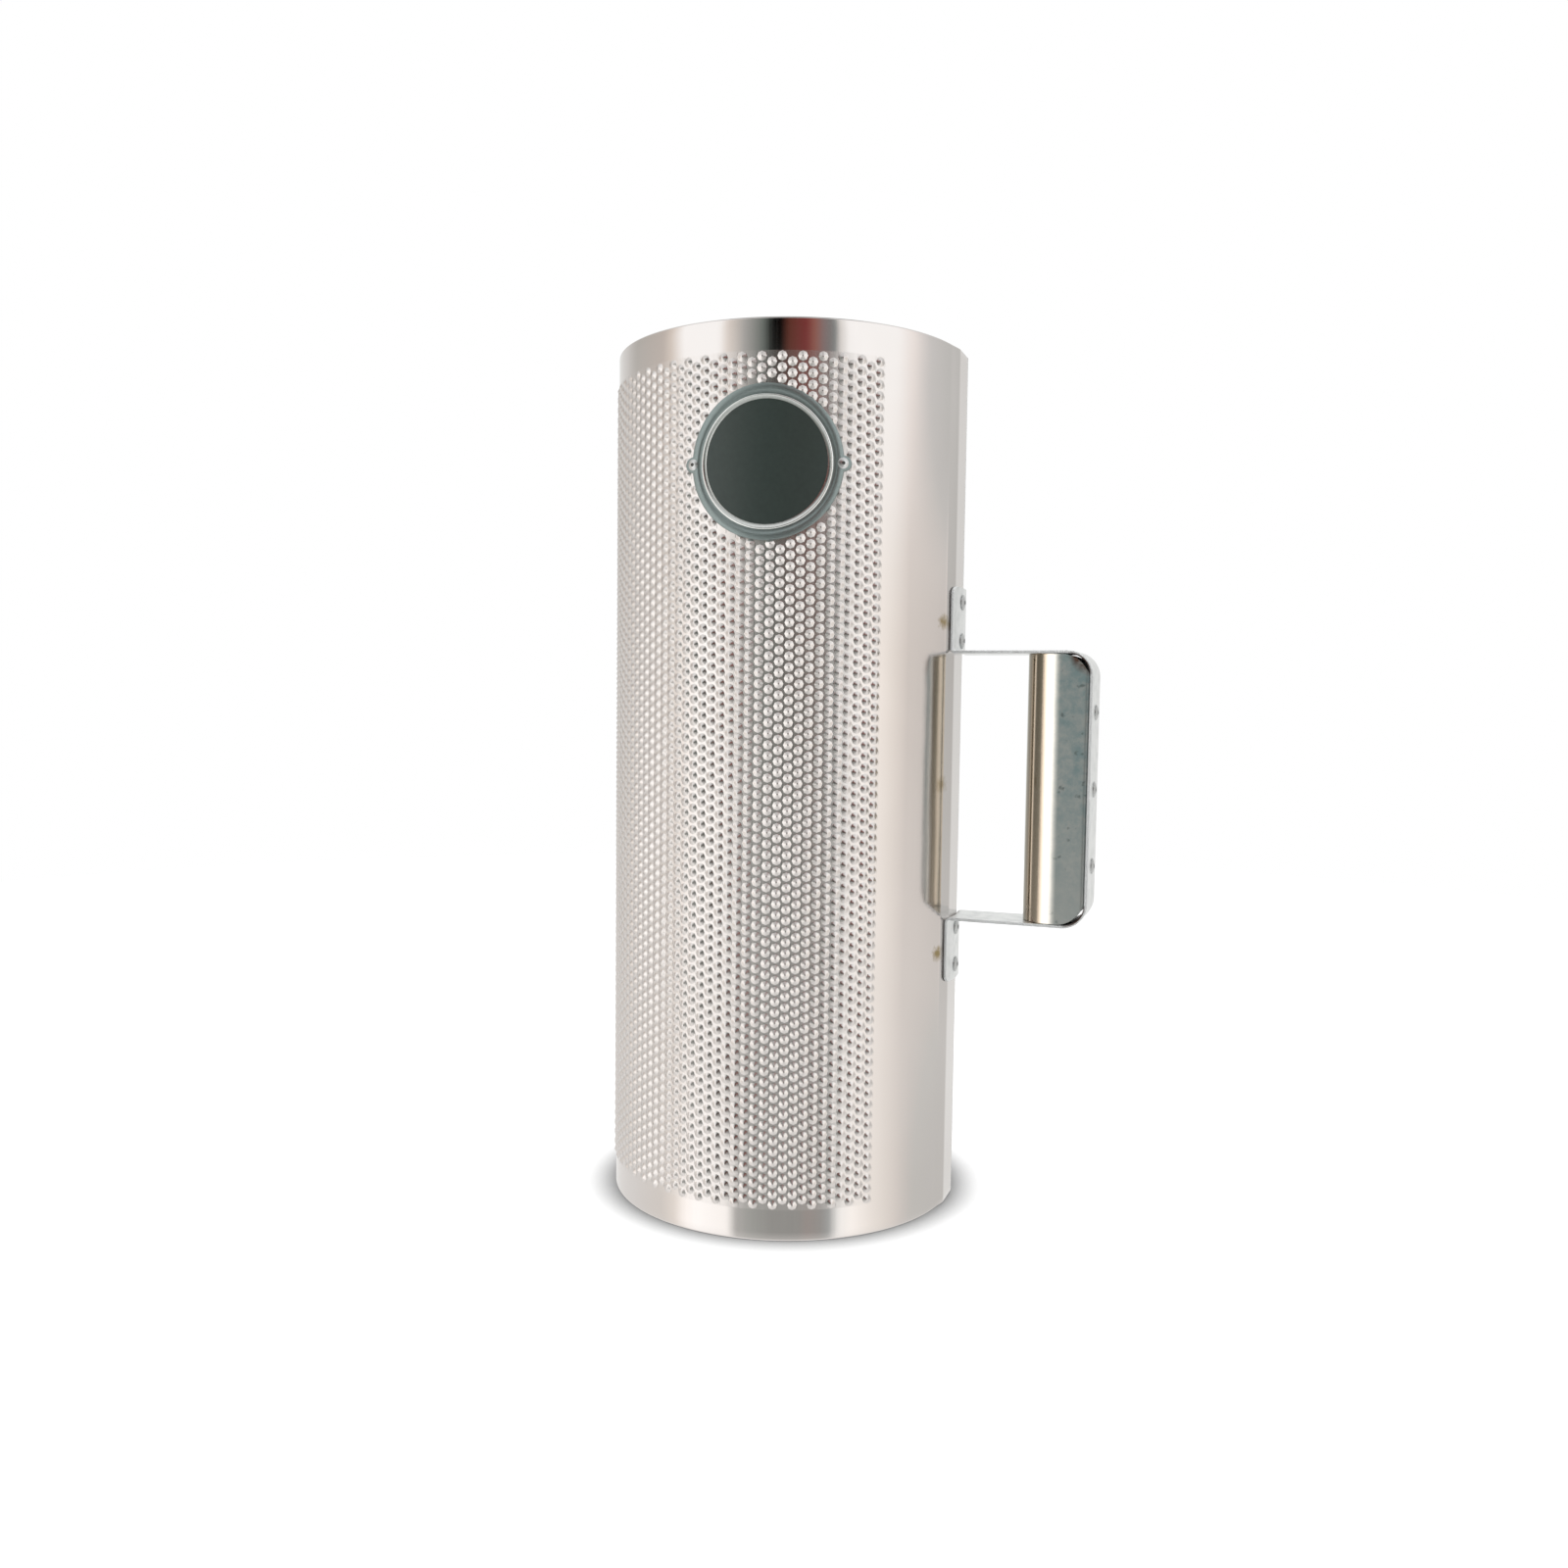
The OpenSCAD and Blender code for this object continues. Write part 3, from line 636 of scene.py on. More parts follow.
def rim_line(body):
    """Closed section of the upper margin and its hem, as a radius, a height and a share of the lap's rise.

    It goes up the outside, over the rim by half a circle one sheet in radius, down the hem's inner face,
    under the hem's raw edge to the wall behind it, and down that wall."""
    turn = np.linspace(0, np.pi, 15)
    fold_z = TUBE_H - SHEET
    raw_z = TUBE_H - body.hem
    fold = np.column_stack([TUBE_R - SHEET + SHEET * np.cos(turn), fold_z + SHEET * np.sin(turn),
                            np.clip(np.cos(turn), 0, 1) ** 2])
    height = np.linspace(TUBE_H - body.margin, fold_z, 5)[:-1]
    outside = np.column_stack([np.full_like(height, TUBE_R), height, np.ones_like(height)])
    edge = SHEET / 4
    inside = [[TUBE_R - 2 * SHEET, raw_z + edge, 0.0], [TUBE_R - 2 * SHEET + edge, raw_z, 0.0],
              [TUBE_R - SHEET, raw_z, 0.0], [TUBE_R - SHEET, TUBE_H - body.margin, 0.0]]
    return np.concatenate([outside, fold, inside])


def plain_finish(context):
    """The finish of the tube's plain sheet, made the first time it is asked for."""
    name = "rolled_stainless_sheet"
    return bpy.data.materials.get(name) or rolled_stainless(name, context, rough_low=0.08, rough_high=0.13)


class GUIRO_OT_rims(bpy.types.Operator):
    """Makes the plain margins at both rims, each with its hem folded in"""

    bl_idname = "guiro.rims"
    bl_label = "Hemmed rims"

    def execute(self, context):
        body = context.scene.guiro_body
        band, rises = band_line(body)
        far = field_angles(body)[1:-1]
        angles = np.concatenate([band, far])
        rises = np.concatenate([rises, np.zeros(len(far))])
        line = rim_line(body)
        lower = line[::-1] * (1, -1, 1) + (0, TUBE_H, 0)
        finish = plain_finish(context)
        for name, section in (("rim_top", line), ("rim_bottom", lower)):
            radius, height, share = section.T[:, :, None]
            points = round_tube(radius + share * rises, angles, height)
            shape = points.reshape(-1, 3), [grid_faces(len(section), len(angles), True, True)]
            add_piece(name, shape, finish, ["body_shell"])
        return {"FINISHED"}


class GUIRO_OT_plain_band(bpy.types.Operator):
    """Makes the plain upright band under the handle, with the step of the lap's free edge"""

    bl_idname = "guiro.plain_band"
    bl_label = "Plain band and lap"

    def execute(self, context):
        body = context.scene.guiro_body
        angles, rises = band_line(body)
        heights = np.linspace(body.margin, TUBE_H - body.margin, 9)[:, None]
        shape = two_faced(round_tube(TUBE_R + rises, angles, heights),
                          round_tube(TUBE_R - SHEET, angles, heights))
        add_piece("plain_band", shape, plain_finish(context), ["body_shell"])
        return {"FINISHED"}


# Scraping field

# Eight directions round a bump, and the steps in half columns and half rows to its cell's points there
DIRECTIONS = np.arange(8) * np.pi / 4
AROUND = [(1, 0), (1, 1), (0, 1), (-1, 1), (-1, 0), (-1, -1), (0, -1), (1, -1)]
# Shares of a bump's radius at which its crown ends and its foot starts, and at which rings of points lie
CROWN_END = 0.25
FOOT_START = 0.86
BUMP_RINGS = np.array([CROWN_END, FOOT_START, 1.0])
DIMPLE_RINGS = np.array([0.55, 1.0])
# Share of a bump's radius by which its middle stands clear of the badge
BADGE_CLEAR = 0.25


def dome(share):
    """Height and slope of a pressed bump at a share of its foot's radius.

    The slope grows evenly from nothing at the crown to the crown's end, holds down the flank and falls evenly
    to nothing across the foot. The height is the slope's sum from the foot inwards."""
    foot = 1 - FOOT_START
    total = 1 - (CROWN_END + foot) / 2
    slope = np.minimum(1, share / CROWN_END) * np.minimum(1, (1 - share) / foot)
    flank = 1 - foot / 2 - share
    height = np.where(share < CROWN_END, total - share ** 2 / (2 * CROWN_END), flank)
    height = np.where(share > FOOT_START, (1 - share) ** 2 / (2 * foot), height)
    return height / total, -slope / total


def bump_places(body, first, last):
    """Half columns and half rows at each bump's middle in a run of columns, counted from the run's corner.

    Every other column is half a pitch higher, and holds one bump fewer."""
    column = np.arange(first, last)[:, None]
    row = np.arange(body.rows)[None, :]
    half_column, half_row = np.broadcast_arrays(2 * (column - first) + 1, 2 * row + 1 + column % 2)
    inside = half_row < 2 * body.rows
    return half_column[inside], half_row[inside]


def clear_of_badge(angles, heights, badge, reach):
    """1 where a bump stands clear of the badge and its ears, and 0 where the sheet under them is plain."""
    side = TUBE_R * (angles - BADGE_ANGLE - 2 * np.pi)
    up = heights - BADGE_Z
    under_plate = np.hypot(side, up) < BADGE_R + reach
    under_ear = np.hypot(np.abs(side) - EAR_AT, up) < badge.ear_r + reach
    return np.where(under_plate | under_ear, 0.0, 1.0)


def pressed_face(angles, heights, centres, standing, radius, foot, crown, rings):
    """One face of the pressed sheet: points, normals and faces that turn outwards.

    The grid of half columns and half rows gives each bump its crown and the eight points round its cell.
    Between them lie rings of eight points, at a share of the foot's radius and at the dome's height there. A
    normal is the tube's own, leant outwards from the bump by the dome's slope."""
    rows = len(heights)
    at_angle, at_height = centres
    grid_radius = np.full((len(angles), rows), radius)
    grid_radius[at_angle, at_height] += crown * standing
    grid = round_tube(grid_radius, angles[:, None], heights[None, :])
    grid_normals = round_tube(np.ones_like(grid_radius), angles[:, None], 0.0)

    height, slope = dome(rings)
    step = foot * rings[:, None]
    bump_angle = angles[at_angle][:, None, None]
    ring_angle = bump_angle + step * np.cos(DIRECTIONS) / radius
    ring_z = heights[at_height][:, None, None] + step * np.sin(DIRECTIONS)
    ring_radius = radius + (crown * height)[:, None] * standing[:, None, None]
    ring = round_tube(ring_radius, ring_angle, ring_z)
    lean = -(crown / foot * slope)[:, None] * standing[:, None, None]
    side = np.stack([-np.sin(ring_angle), np.cos(ring_angle), np.zeros_like(ring_angle)], axis=-1)
    normal = round_tube(np.ones_like(ring_angle), ring_angle, lean * np.sin(DIRECTIONS))
    normal = normal + side * (lean * np.cos(DIRECTIONS))[..., None]

    points = np.concatenate([grid.reshape(-1, 3), ring.reshape(-1, 3)])
    normals = np.concatenate([grid_normals.reshape(-1, 3), normal.reshape(-1, 3)])
    normals /= np.linalg.norm(normals, axis=-1, keepdims=True)

    middle = at_angle * rows + at_height
    cell = np.stack([(at_angle + across) * rows + at_height + up for across, up in AROUND], axis=-1)
    ring_number = grid_radius.size + np.arange(ring[..., 0].size).reshape(len(middle), len(rings), 8)
    loops = np.concatenate([ring_number, cell[:, None, :]], axis=1)
    following = np.roll(loops, -1, axis=-1)
    crown_faces = np.stack(np.broadcast_arrays(middle[:, None], loops[:, 0], following[:, 0]), axis=-1)
    ring_faces = np.stack([loops[:, :-1], loops[:, 1:], following[:, 1:], following[:, :-1]], axis=-1)
    return points, normals, crown_faces.reshape(-1, 3), ring_faces.reshape(-1, 4)


def half_cells(body, first, last):
    """Flat quads that fill the half cells at both ends of every higher column, two to an end."""
    rows = 2 * body.rows + 1
    column = np.arange(first, last)
    left = 2 * (column[column % 2 == 1] - first)[:, None, None] + np.array([0, 1])[None, :, None]
    low = np.array([0, rows - 2])[None, None, :]
    corners = (left * rows + low, (left + 1) * rows + low, (left + 1) * rows + low + 1, left * rows + low + 1)
    return np.stack(np.broadcast_arrays(*corners), axis=-1).reshape(-1, 4)


class GUIRO_OT_scraping_field(bpy.types.Operator):
    """Makes the field of pressed bumps round the tube, in a few upright pieces"""

    bl_idname = "guiro.scraping_field"
    bl_label = "Scraping field"

    def execute(self, context):
        body = context.scene.guiro_body
        badge = context.scene.guiro_badge
        finish = rolled_stainless("pressed_stainless_sheet", context, rough_low=0.2, rough_high=0.26)
        heights = field_heights(body)
        cuts = np.linspace(0, body.columns, body.field_parts + 1).round().astype(int)
        for part, (first, last) in enumerate(zip(cuts[:-1], cuts[1:]), 1):
            angles = field_angles(body)[2 * first:2 * last + 1]
            centres = bump_places(body, first, last)
            standing = clear_of_badge(angles[centres[0]], heights[centres[1]], badge,
                                      BADGE_CLEAR * body.bump_r)
            outer = pressed_face(angles, heights, centres, standing, TUBE_R,
                                 body.bump_r, body.bump_h, BUMP_RINGS)
            inner = pressed_face(angles, heights, centres, standing, TUBE_R - SHEET,
                                 body.dimple_r, body.dimple_h, DIMPLE_RINGS)
            number = np.arange(len(angles) * len(heights)).reshape(len(angles), len(heights))
            start = len(outer[0])
            flat = half_cells(body, first, last)
            faces = [outer[2], outer[3], flat, inner[2][:, ::-1] + start, inner[3][:, ::-1] + start,
                     flat[:, ::-1] + start, edge_walls(number.T, number.T + start)]
            shape = np.concatenate([outer[0], inner[0]]), faces
            normals = np.concatenate([outer[1], -inner[1]])
            add_piece(f"scraping_field_{part}", shape, finish, ["body_shell"], normals)
        return {"FINISHED"}


# Handle

# How sharply the press on the tabs grows towards their long edges, as a power of the way there
TAB_PRESS_POWER = 6


def strap_line(handle):
    """Middle line of the strap from the lower tab's end to the upper one's, in the plane of the handle.

    Each row holds x, the height above the handle's middle, the line's heading, how far the tab's rounded
    corner draws the strap's edges in there, 1 where the strap is bent round the tube or 0 where it is flat,
    and how deep in the web's bend it is. The upper half is web, bend, arm, bend and tab, and the lower half
    mirrors it."""
    half = STRAP_T / 2
    arm_out = SLEEVE_HALF + handle.sleeve_clear + STRAP_T
    top = (STRAP_HIGH.z - STRAP_LOW.z) / 2
    bend = np.linspace(0, np.pi / 2, 17)
    round_off = np.linspace(0, np.pi / 2, 9)
    web_turn = arc((STRAP_HIGH.x - handle.web_bend_r, arm_out - handle.web_bend_r), handle.web_bend_r - half,
                   0, np.pi / 2, len(bend))
    tab_turn = arc((TAB_TOP + handle.tab_bend_r, arm_out + handle.tab_bend_r), handle.tab_bend_r + half,
                   -np.pi / 2, -np.pi, len(bend))
    corner = handle.tab_corner_r
    tab_z = top - corner * (1 - np.sin(round_off))
    tab_end = np.column_stack([np.full_like(tab_z, TAB_UNDER + half), tab_z])
    upper = np.concatenate([[[STRAP_HIGH.x - half, 0.0]], web_turn, tab_turn, tab_end])
    heading = np.concatenate([[np.pi / 2], np.pi / 2 + bend, np.pi - bend, np.full_like(tab_z, np.pi / 2)])
    drawn_in = np.concatenate([np.zeros(1 + 2 * len(bend)), corner * (1 - np.cos(round_off))])
    rounded = np.concatenate([np.zeros(1 + len(bend)), np.ones(len(bend) + len(round_off))])
    deep = np.concatenate([[0.0], np.sin(2 * bend) ** 0.5, np.zeros(len(bend) + len(round_off))])
    upper = np.column_stack([upper, heading, drawn_in, rounded, deep])
    lower = upper[:0:-1] * (1, -1, -1, 1, 1, 1) + (0, 0, np.pi, 0, 0, 0)
    return np.concatenate([lower, upper])


def strap_section(handle):
    """Closed section of the strap, a rectangle with rounded corners, as depth outwards and place across."""
    r = handle.strap_edge_r
    deep = STRAP_T / 2 - r
    wide = STRAP_W / 2 - r
    across = np.linspace(-wide, wide, 13)[1:-1]
    outer = np.column_stack([np.full_like(across, STRAP_T / 2), across])
    corners = [arc((x, y), r, math.radians(start), math.radians(start + 90), 5) for x, y, start in
               ((deep, -wide, -90), (deep, wide, 0), (-deep, wide, 90), (-deep, -wide, 180))]
    return np.concatenate([corners[0], outer, corners[1], corners[2], -outer, corners[3]])


class GUIRO_OT_handle_strap(bpy.types.Operator):
    """Makes the bent strap of the handle: two tabs, two arms and the web between them"""

    bl_idname = "guiro.handle_strap"
    bl_label = "Handle strap"

    def execute(self, context):
        handle = context.scene.guiro_handle
        colours = context.scene.guiro_colours
        x, z, heading, drawn_in, rounded, deep = strap_line(handle).T[:, :, None]
        depth, section = strap_section(handle).T
        across = section * (1 - drawn_in / (STRAP_W / 2))
        out = x + depth * np.sin(heading)
        pressed = handle.tab_press * (2 * across / STRAP_W) ** TAB_PRESS_POWER
        out = np.sqrt(out ** 2 - rounded * across ** 2) - rounded * pressed
        points = np.stack(np.broadcast_arrays(out, across, HANDLE_Z + z - depth * np.cos(heading)), axis=-1)
        rows, columns = points.shape[:2]
        ends = [np.arange(columns)[None, ::-1], np.arange(columns)[None, :] + (rows - 1) * columns]
        shape = points.reshape(-1, 3), [grid_faces(rows, columns, close_columns=True), *ends]
        strap = add_piece("bent_strap", shape, zinc_plate(colours), ["handle_strap"])

        # Points on the edges' rounding are sheared, and those right at its start belong to the faces
        on_edge = np.abs(section) > STRAP_W / 2 - 0.99 * handle.strap_edge_r
        # Painted shade lies on the strap's inner face, deepest in the middle of each web bend
        shares = {SHADE_IN_BENDS: np.where(depth < 0, deep, 0.0),
                  SHEARED: np.broadcast_to(on_edge, (rows, columns)).astype(float)}
        for name, share in shares.items():
            strap.data.attributes.new(name, "FLOAT", "POINT").data.foreach_set("value", share.ravel())
        return {"FINISHED"}


def sleeve_line(handle):
    """Middle line of the sleeve's section, from the lip's edge round the nose to the far leg's edge.

    Each row holds x, y and the heading. The lip runs across the strap's inner face, bends to a flat leg, goes
    round the nose by half an ellipse and comes back as the other leg. Points on the legs lie closer where the
    corners are rounded off, at the sine of equal turns."""
    half = handle.sleeve_t / 2
    width = STRAP_W / 2
    lip_x = SLEEVE_HIGH.x - half
    lip_y = width - handle.sleeve_t - handle.lip_gap
    nose_x = SLEEVE_LOW.x + handle.nose_l
    bend_r = handle.lip_bend_r - half
    bend_at = (lip_x - bend_r, -width + half + bend_r)
    turn = np.linspace(0, np.pi / 2, 9)
    corner_x = SLEEVE_HIGH.x - handle.sleeve_corner_r
    spread = np.sin(np.linspace(0, np.pi / 2, 25)) * handle.sleeve_corner_r + corner_x
    near_x = spread[(spread > nose_x) & (spread < bend_at[0])][::-1]
    far_x = spread[spread > nose_x]
    nose = np.linspace(0, np.pi, 49)
    lip = np.column_stack([np.full(6, lip_x), np.linspace(lip_y, bend_at[1], 6), np.full(6, -np.pi / 2)])
    bend = np.column_stack([arc(bend_at, bend_r, 0, -np.pi / 2, len(turn)), -np.pi / 2 - turn])[1:]
    near = np.column_stack([near_x, np.full_like(near_x, half - width), np.full_like(near_x, -np.pi)])
    long, wide = handle.nose_l - half, width - half
    round_nose = np.column_stack([nose_x - long * np.sin(nose), -wide * np.cos(nose),
                                  -np.pi - np.arctan2(wide * np.sin(nose), long * np.cos(nose))])
    far = np.column_stack([far_x, np.full_like(far_x, width - half), np.full_like(far_x, -2 * np.pi)])
    return np.concatenate([lip, bend, near, round_nose, far])


class GUIRO_OT_grip_sleeve(bpy.types.Operator):
    """Makes the D-shaped sheet sleeve that is the handle's grip"""

    bl_idname = "guiro.grip_sleeve"
    bl_label = "Grip sleeve"

    def execute(self, context):
        handle = context.scene.guiro_handle
        colours = context.scene.guiro_colours
        x, y, heading = sleeve_line(handle).T
        out_x, out_y = -np.sin(heading), np.cos(heading)
        corner_r = handle.sleeve_corner_r
        past = np.clip(x - (SLEEVE_HIGH.x - corner_r), 0, corner_r)
        reach = SLEEVE_HALF - corner_r + np.sqrt(corner_r ** 2 - past ** 2)
        edge = handle.sleeve_edge
        ends = np.array([-1, -1, 1, 1])[:, None]
        inset = np.array([edge, 0, 0, edge])[:, None]
        z = HANDLE_Z + ends * (reach - (edge - inset))
        offset = np.array([1, -1])[:, None, None] * (handle.sleeve_t / 2 - inset)
        outer, inner = np.stack(np.broadcast_arrays(x + offset * out_x, y + offset * out_y, z), axis=-1)
        points, faces = two_faced(outer, inner)
        shape = points, [rows[:, ::-1] for rows in faces]
        add_piece("d_sleeve", shape, passivated_sleeve(colours, handle), ["grip_sleeve"])
        return {"FINISHED"}


# Badge

# Points round the badge, and how many times closer they lie beside its ears
BADGE_SIDES = 240
EARS_CLOSER = 4
# Clearance between the ring and the enamel, and how far the ring is let into the bezel
RING_CLEAR = 0.05 * MM
RING_SEAT = 0.1 * MM


def on_badge(side, up, radius):
    """Points of the badge: a distance to the side of its middle and above it, on a tube of some radius."""
    side, up, radius = np.broadcast_arrays(side, up, radius)
    return round_tube(radius, BADGE_ANGLE + np.arcsin(side / radius), BADGE_Z + up)


def badge_turns():
    """Directions round the badge: equal turns, less a share of the sine of twice each, closer by its ears."""
    turn = np.linspace(0, 2 * np.pi, BADGE_SIDES, endpoint=False)
    return turn - (1 - 1 / EARS_CLOSER) / 2 * np.sin(2 * turn)


def badge_edge(turns, ear_r):
    """Distance from the badge's middle to its outline: the round edge, or an ear's far side where wider."""
    along = EAR_AT * np.abs(np.cos(turns))
    room = ear_r ** 2 - (EAR_AT * np.sin(turns)) ** 2
    ear = np.where(room > 0, along + np.sqrt(np.clip(room, 0, None)), 0)
    return np.maximum(BADGE_R, ear)


def turned_on_badge(section, stretch, turns, edge):
    """A closed section of distance and radius, carried round the badge.

    A stretch of 1 takes a point out to the edge."""
    distance = section[:, :1] + stretch[:, None] * (edge - BADGE_R)
    points = on_badge(distance * np.cos(turns), distance * np.sin(turns), section[:, 1:])
    return points.reshape(-1, 3), [grid_faces(len(section), len(turns), True, True)[:, ::-1]]


class GUIRO_OT_badge(bpy.types.Operator):
    """Makes the badge's bezel with its two ears, its bright ring and its bare enamelled field"""

    bl_idname = "guiro.badge"
    bl_label = "Badge"

    def execute(self, context):
        badge = context.scene.guiro_badge
        colours = context.scene.guiro_colours
        turns = badge_turns()
        edge = badge_edge(turns, badge.ear_r)
        ring_in = ENAMEL_R + RING_CLEAR
        ring_out = ring_in + badge.ring_w
        rim_in = ring_out + badge.groove_w
        rim_out = BADGE_R - badge.edge_r
        low = BADGE_TOP - badge.groove_h
        under = BADGE_UNDER
        swell = np.linspace(0, 1, 9)
        slope = np.column_stack([ring_out + swell * badge.groove_w, low + badge.groove_h * swell ** 2])
        crown = np.column_stack([rim_in + swell * (rim_out - rim_in),
                                 BADGE_TOP + badge.crown_h * np.sin(np.pi * swell)])
        rounded = arc((rim_out, BADGE_TOP - badge.edge_r), badge.edge_r, np.pi / 2, 0, 6)
        foot = np.array([[BADGE_R, under], [ring_in, under], [ring_in, low]])
        bezel = np.concatenate([slope, crown[1:-1], rounded, foot])
        stretch = np.zeros(len(bezel))
        outline = len(slope) + len(crown) - 2
        stretch[outline:outline + len(rounded) + 1] = 1
        shape = turned_on_badge(bezel, stretch, turns, edge)
        lacquer = cast_metal("grey_lacquered_zinc_casting", colours.bezel,
                             roughness=0.34, metallic=0.85, grit_mm=0.8)
        add_piece("badge_bezel", shape, lacquer, ["badge_plate"])

        # The ring climbs evenly from the enamel to a half round crest on its outer side
        crest_r = badge.ring_w / 4
        crest_at = (ring_out - crest_r, RING_TOP - crest_r)
        crest = arc(crest_at, crest_r, 0, 3 * np.pi / 4, 11)
        seat = np.array([[ring_in, BADGE_TOP], [ring_in, low - RING_SEAT], [ring_out, low - RING_SEAT]])
        ring = np.concatenate([crest, seat])[::-1]
        shape = turned_on_badge(ring, np.zeros(len(ring)), turns, edge)
        bright = cast_metal("polished_zinc_casting", colours.ring, roughness=0.22, metallic=1.0, grit_mm=0.6)
        add_piece("badge_ring", shape, bright, ["badge_plate"])

        share = np.linspace(0.02, 1, 14)
        top = np.column_stack([ENAMEL_R * share, BADGE_TOP + badge.enamel_dome * (1 - share ** 2)])
        bottom = np.column_stack([ENAMEL_R * share[::-1], np.full(len(share), ENAMEL_UNDER)])
        fill = np.concatenate([top, bottom])
        points, faces = turned_on_badge(fill, np.zeros(len(fill)), turns, edge)
        rows, columns = len(fill), len(turns)
        faces = [grid_faces(rows, columns, close_columns=True)[:, ::-1],
                 np.arange(columns)[None, :], np.arange(columns)[None, ::-1] + (rows - 1) * columns]
        add_piece("badge_field", (points, faces), dark_enamel(colours), ["badge_enamel"])
        return {"FINISHED"}


# Rivets

# Sizes of the bulb, the bore and the mandrel's ball, as shares of the shank's diameter
BULB_D = 1.5
BULB_L = 0.9
BORE_D = 0.56
STEM_HEAD_D = 0.95
STEM_HEAD_L = 0.4
# Shares of the head's height: its straight edge, the chamfer under it and the stem's end below its top
HEAD_EDGE = 0.3
HEAD_LIP = 0.08
STEM_RECESS = 0.35
# A stem's snapped end, as shares of its radius across and above the end, and the least radius on its axis
SNAPPED_END = np.array([[0.02, -0.1], [0.7, 0.0], [1.0, -0.15]])
STEM_MIDDLE = SNAPPED_END[0, 0]
RIVET_SIDES = 32
STEM_SIDES = 24


def rivet_line(shank_d, head_d, head_h, stack, gap):
    """Closed section of a set blind rivet, as a radius and a height above the sheet that its head seats on.

    The head is a shallow dome on a short straight edge, with the mandrel's bore through it. The bulb on the
    far side of the stack is the middle of a ball."""
    bore = BORE_D * shank_d / 2
    rise = head_h * (1 - HEAD_EDGE)
    dome_r = ((head_d / 2) ** 2 + rise ** 2) / (2 * rise)
    out = np.linspace(bore, head_d / 2, 9)
    crown = np.column_stack([out, head_h - dome_r + np.sqrt(dome_r ** 2 - out ** 2)])
    lip = HEAD_LIP * head_h
    edge = np.array([[head_d / 2, lip], [head_d / 2 - lip, 0.0], [shank_d / 2, 0.0]])
    far = -stack - gap
    bulb_l = BULB_L * shank_d
    along = np.linspace(bulb_l / 2, -bulb_l / 2, 9)
    ball = np.column_stack([np.sqrt((BULB_D * shank_d / 2) ** 2 - along ** 2), along + far - bulb_l / 2])
    neck = np.array([[shank_d / 2, far]])
    tail = np.array([[bore, far - bulb_l]])
    return np.concatenate([crown, edge, neck, ball, tail])[::-1]


def mandrel_line(shank_d, head_h, stack, gap, clear):
    """Closed section of a snapped mandrel: a stem that ends below the rivet's head, and the ball that drew
    the bulb out."""
    stem = BORE_D * shank_d / 2 - clear
    head_r = STEM_HEAD_D * shank_d / 2
    head_l = STEM_HEAD_L * shank_d
    seat = -stack - gap - BULB_L * shank_d
    top = head_h * (1 - STEM_RECESS)
    middle = STEM_MIDDLE * stem
    along = np.linspace(0, head_l, 7)
    round_off = np.sqrt(np.clip(head_r ** 2 - (head_r - head_l + along) ** 2, 0, None))
    ball = np.column_stack([np.maximum(round_off, middle), seat - along])
    snapped = SNAPPED_END * stem + (0, top)
    return np.concatenate([snapped, [[stem, seat]], ball, [[middle, seat - head_l]]])[::-1]


def rivet_stand(turn, seat, z):
    """Sideways, upward and outward directions at a turn round the tube, as rows, and the seat's point."""
    out = np.array([math.cos(turn), math.sin(turn), 0.0])
    up = np.array([0.0, 0.0, 1.0])
    return np.stack([np.cross(up, out), up, out]), out * seat + up * z


class GUIRO_OT_rivets(bpy.types.Operator):
    """Makes every blind rivet and the snapped mandrel inside it"""

    bl_idname = "guiro.rivets"
    bl_label = "Rivets and mandrels"

    def execute(self, context):
        rivets = context.scene.guiro_rivets
        colours = context.scene.guiro_colours
        sleeve_t = context.scene.guiro_handle.sleeve_t
        aluminium = cast_metal("headed_aluminium", colours.rivet, roughness=0.28, metallic=1.0, grit_mm=0.5)
        snapped = cast_metal("snapped_steel_stem", colours.mandrel, roughness=0.45, metallic=1.0, grit_mm=0.3)
        wide = (rivets.shank_d, rivets.head_d, rivets.head_h)
        small = (rivets.badge_shank_d, rivets.badge_head_d, rivets.badge_head_h)
        kinds = (
            ("tab", wide, TAB_TOP, TAB_TOP - TUBE_R + SHEET),
            ("grip", wide, STRAP_HIGH.x, STRAP_T + sleeve_t),
            ("badge", small, BADGE_TOP, BADGE_TOP - TUBE_R + SHEET),
        )
        for kind, (shank_d, head_d, head_h), seat, stack in kinds:
            body_line = rivet_line(shank_d, head_d, head_h, stack, rivets.seat_gap)
            stem_line = mandrel_line(shank_d, head_h, stack, rivets.seat_gap, rivets.stem_clear)
            for node, stem in zip(numbered_nodes(f"{kind}_rivet"), numbered_nodes(f"{kind}_mandrel")):
                low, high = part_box(node)
                stand = rivet_stand(float(node_angles(node).mean()), seat, (low.z + high.z) / 2)
                set_shape = turned(body_line, RIVET_SIDES, *stand)
                stem_shape = turned(stem_line, STEM_SIDES, *stand)
                add_piece(f"set_{node}", set_shape, aluminium, [node])
                add_piece(f"snapped_{stem}", stem_shape, snapped, [stem])
        return {"FINISHED"}


# Stage

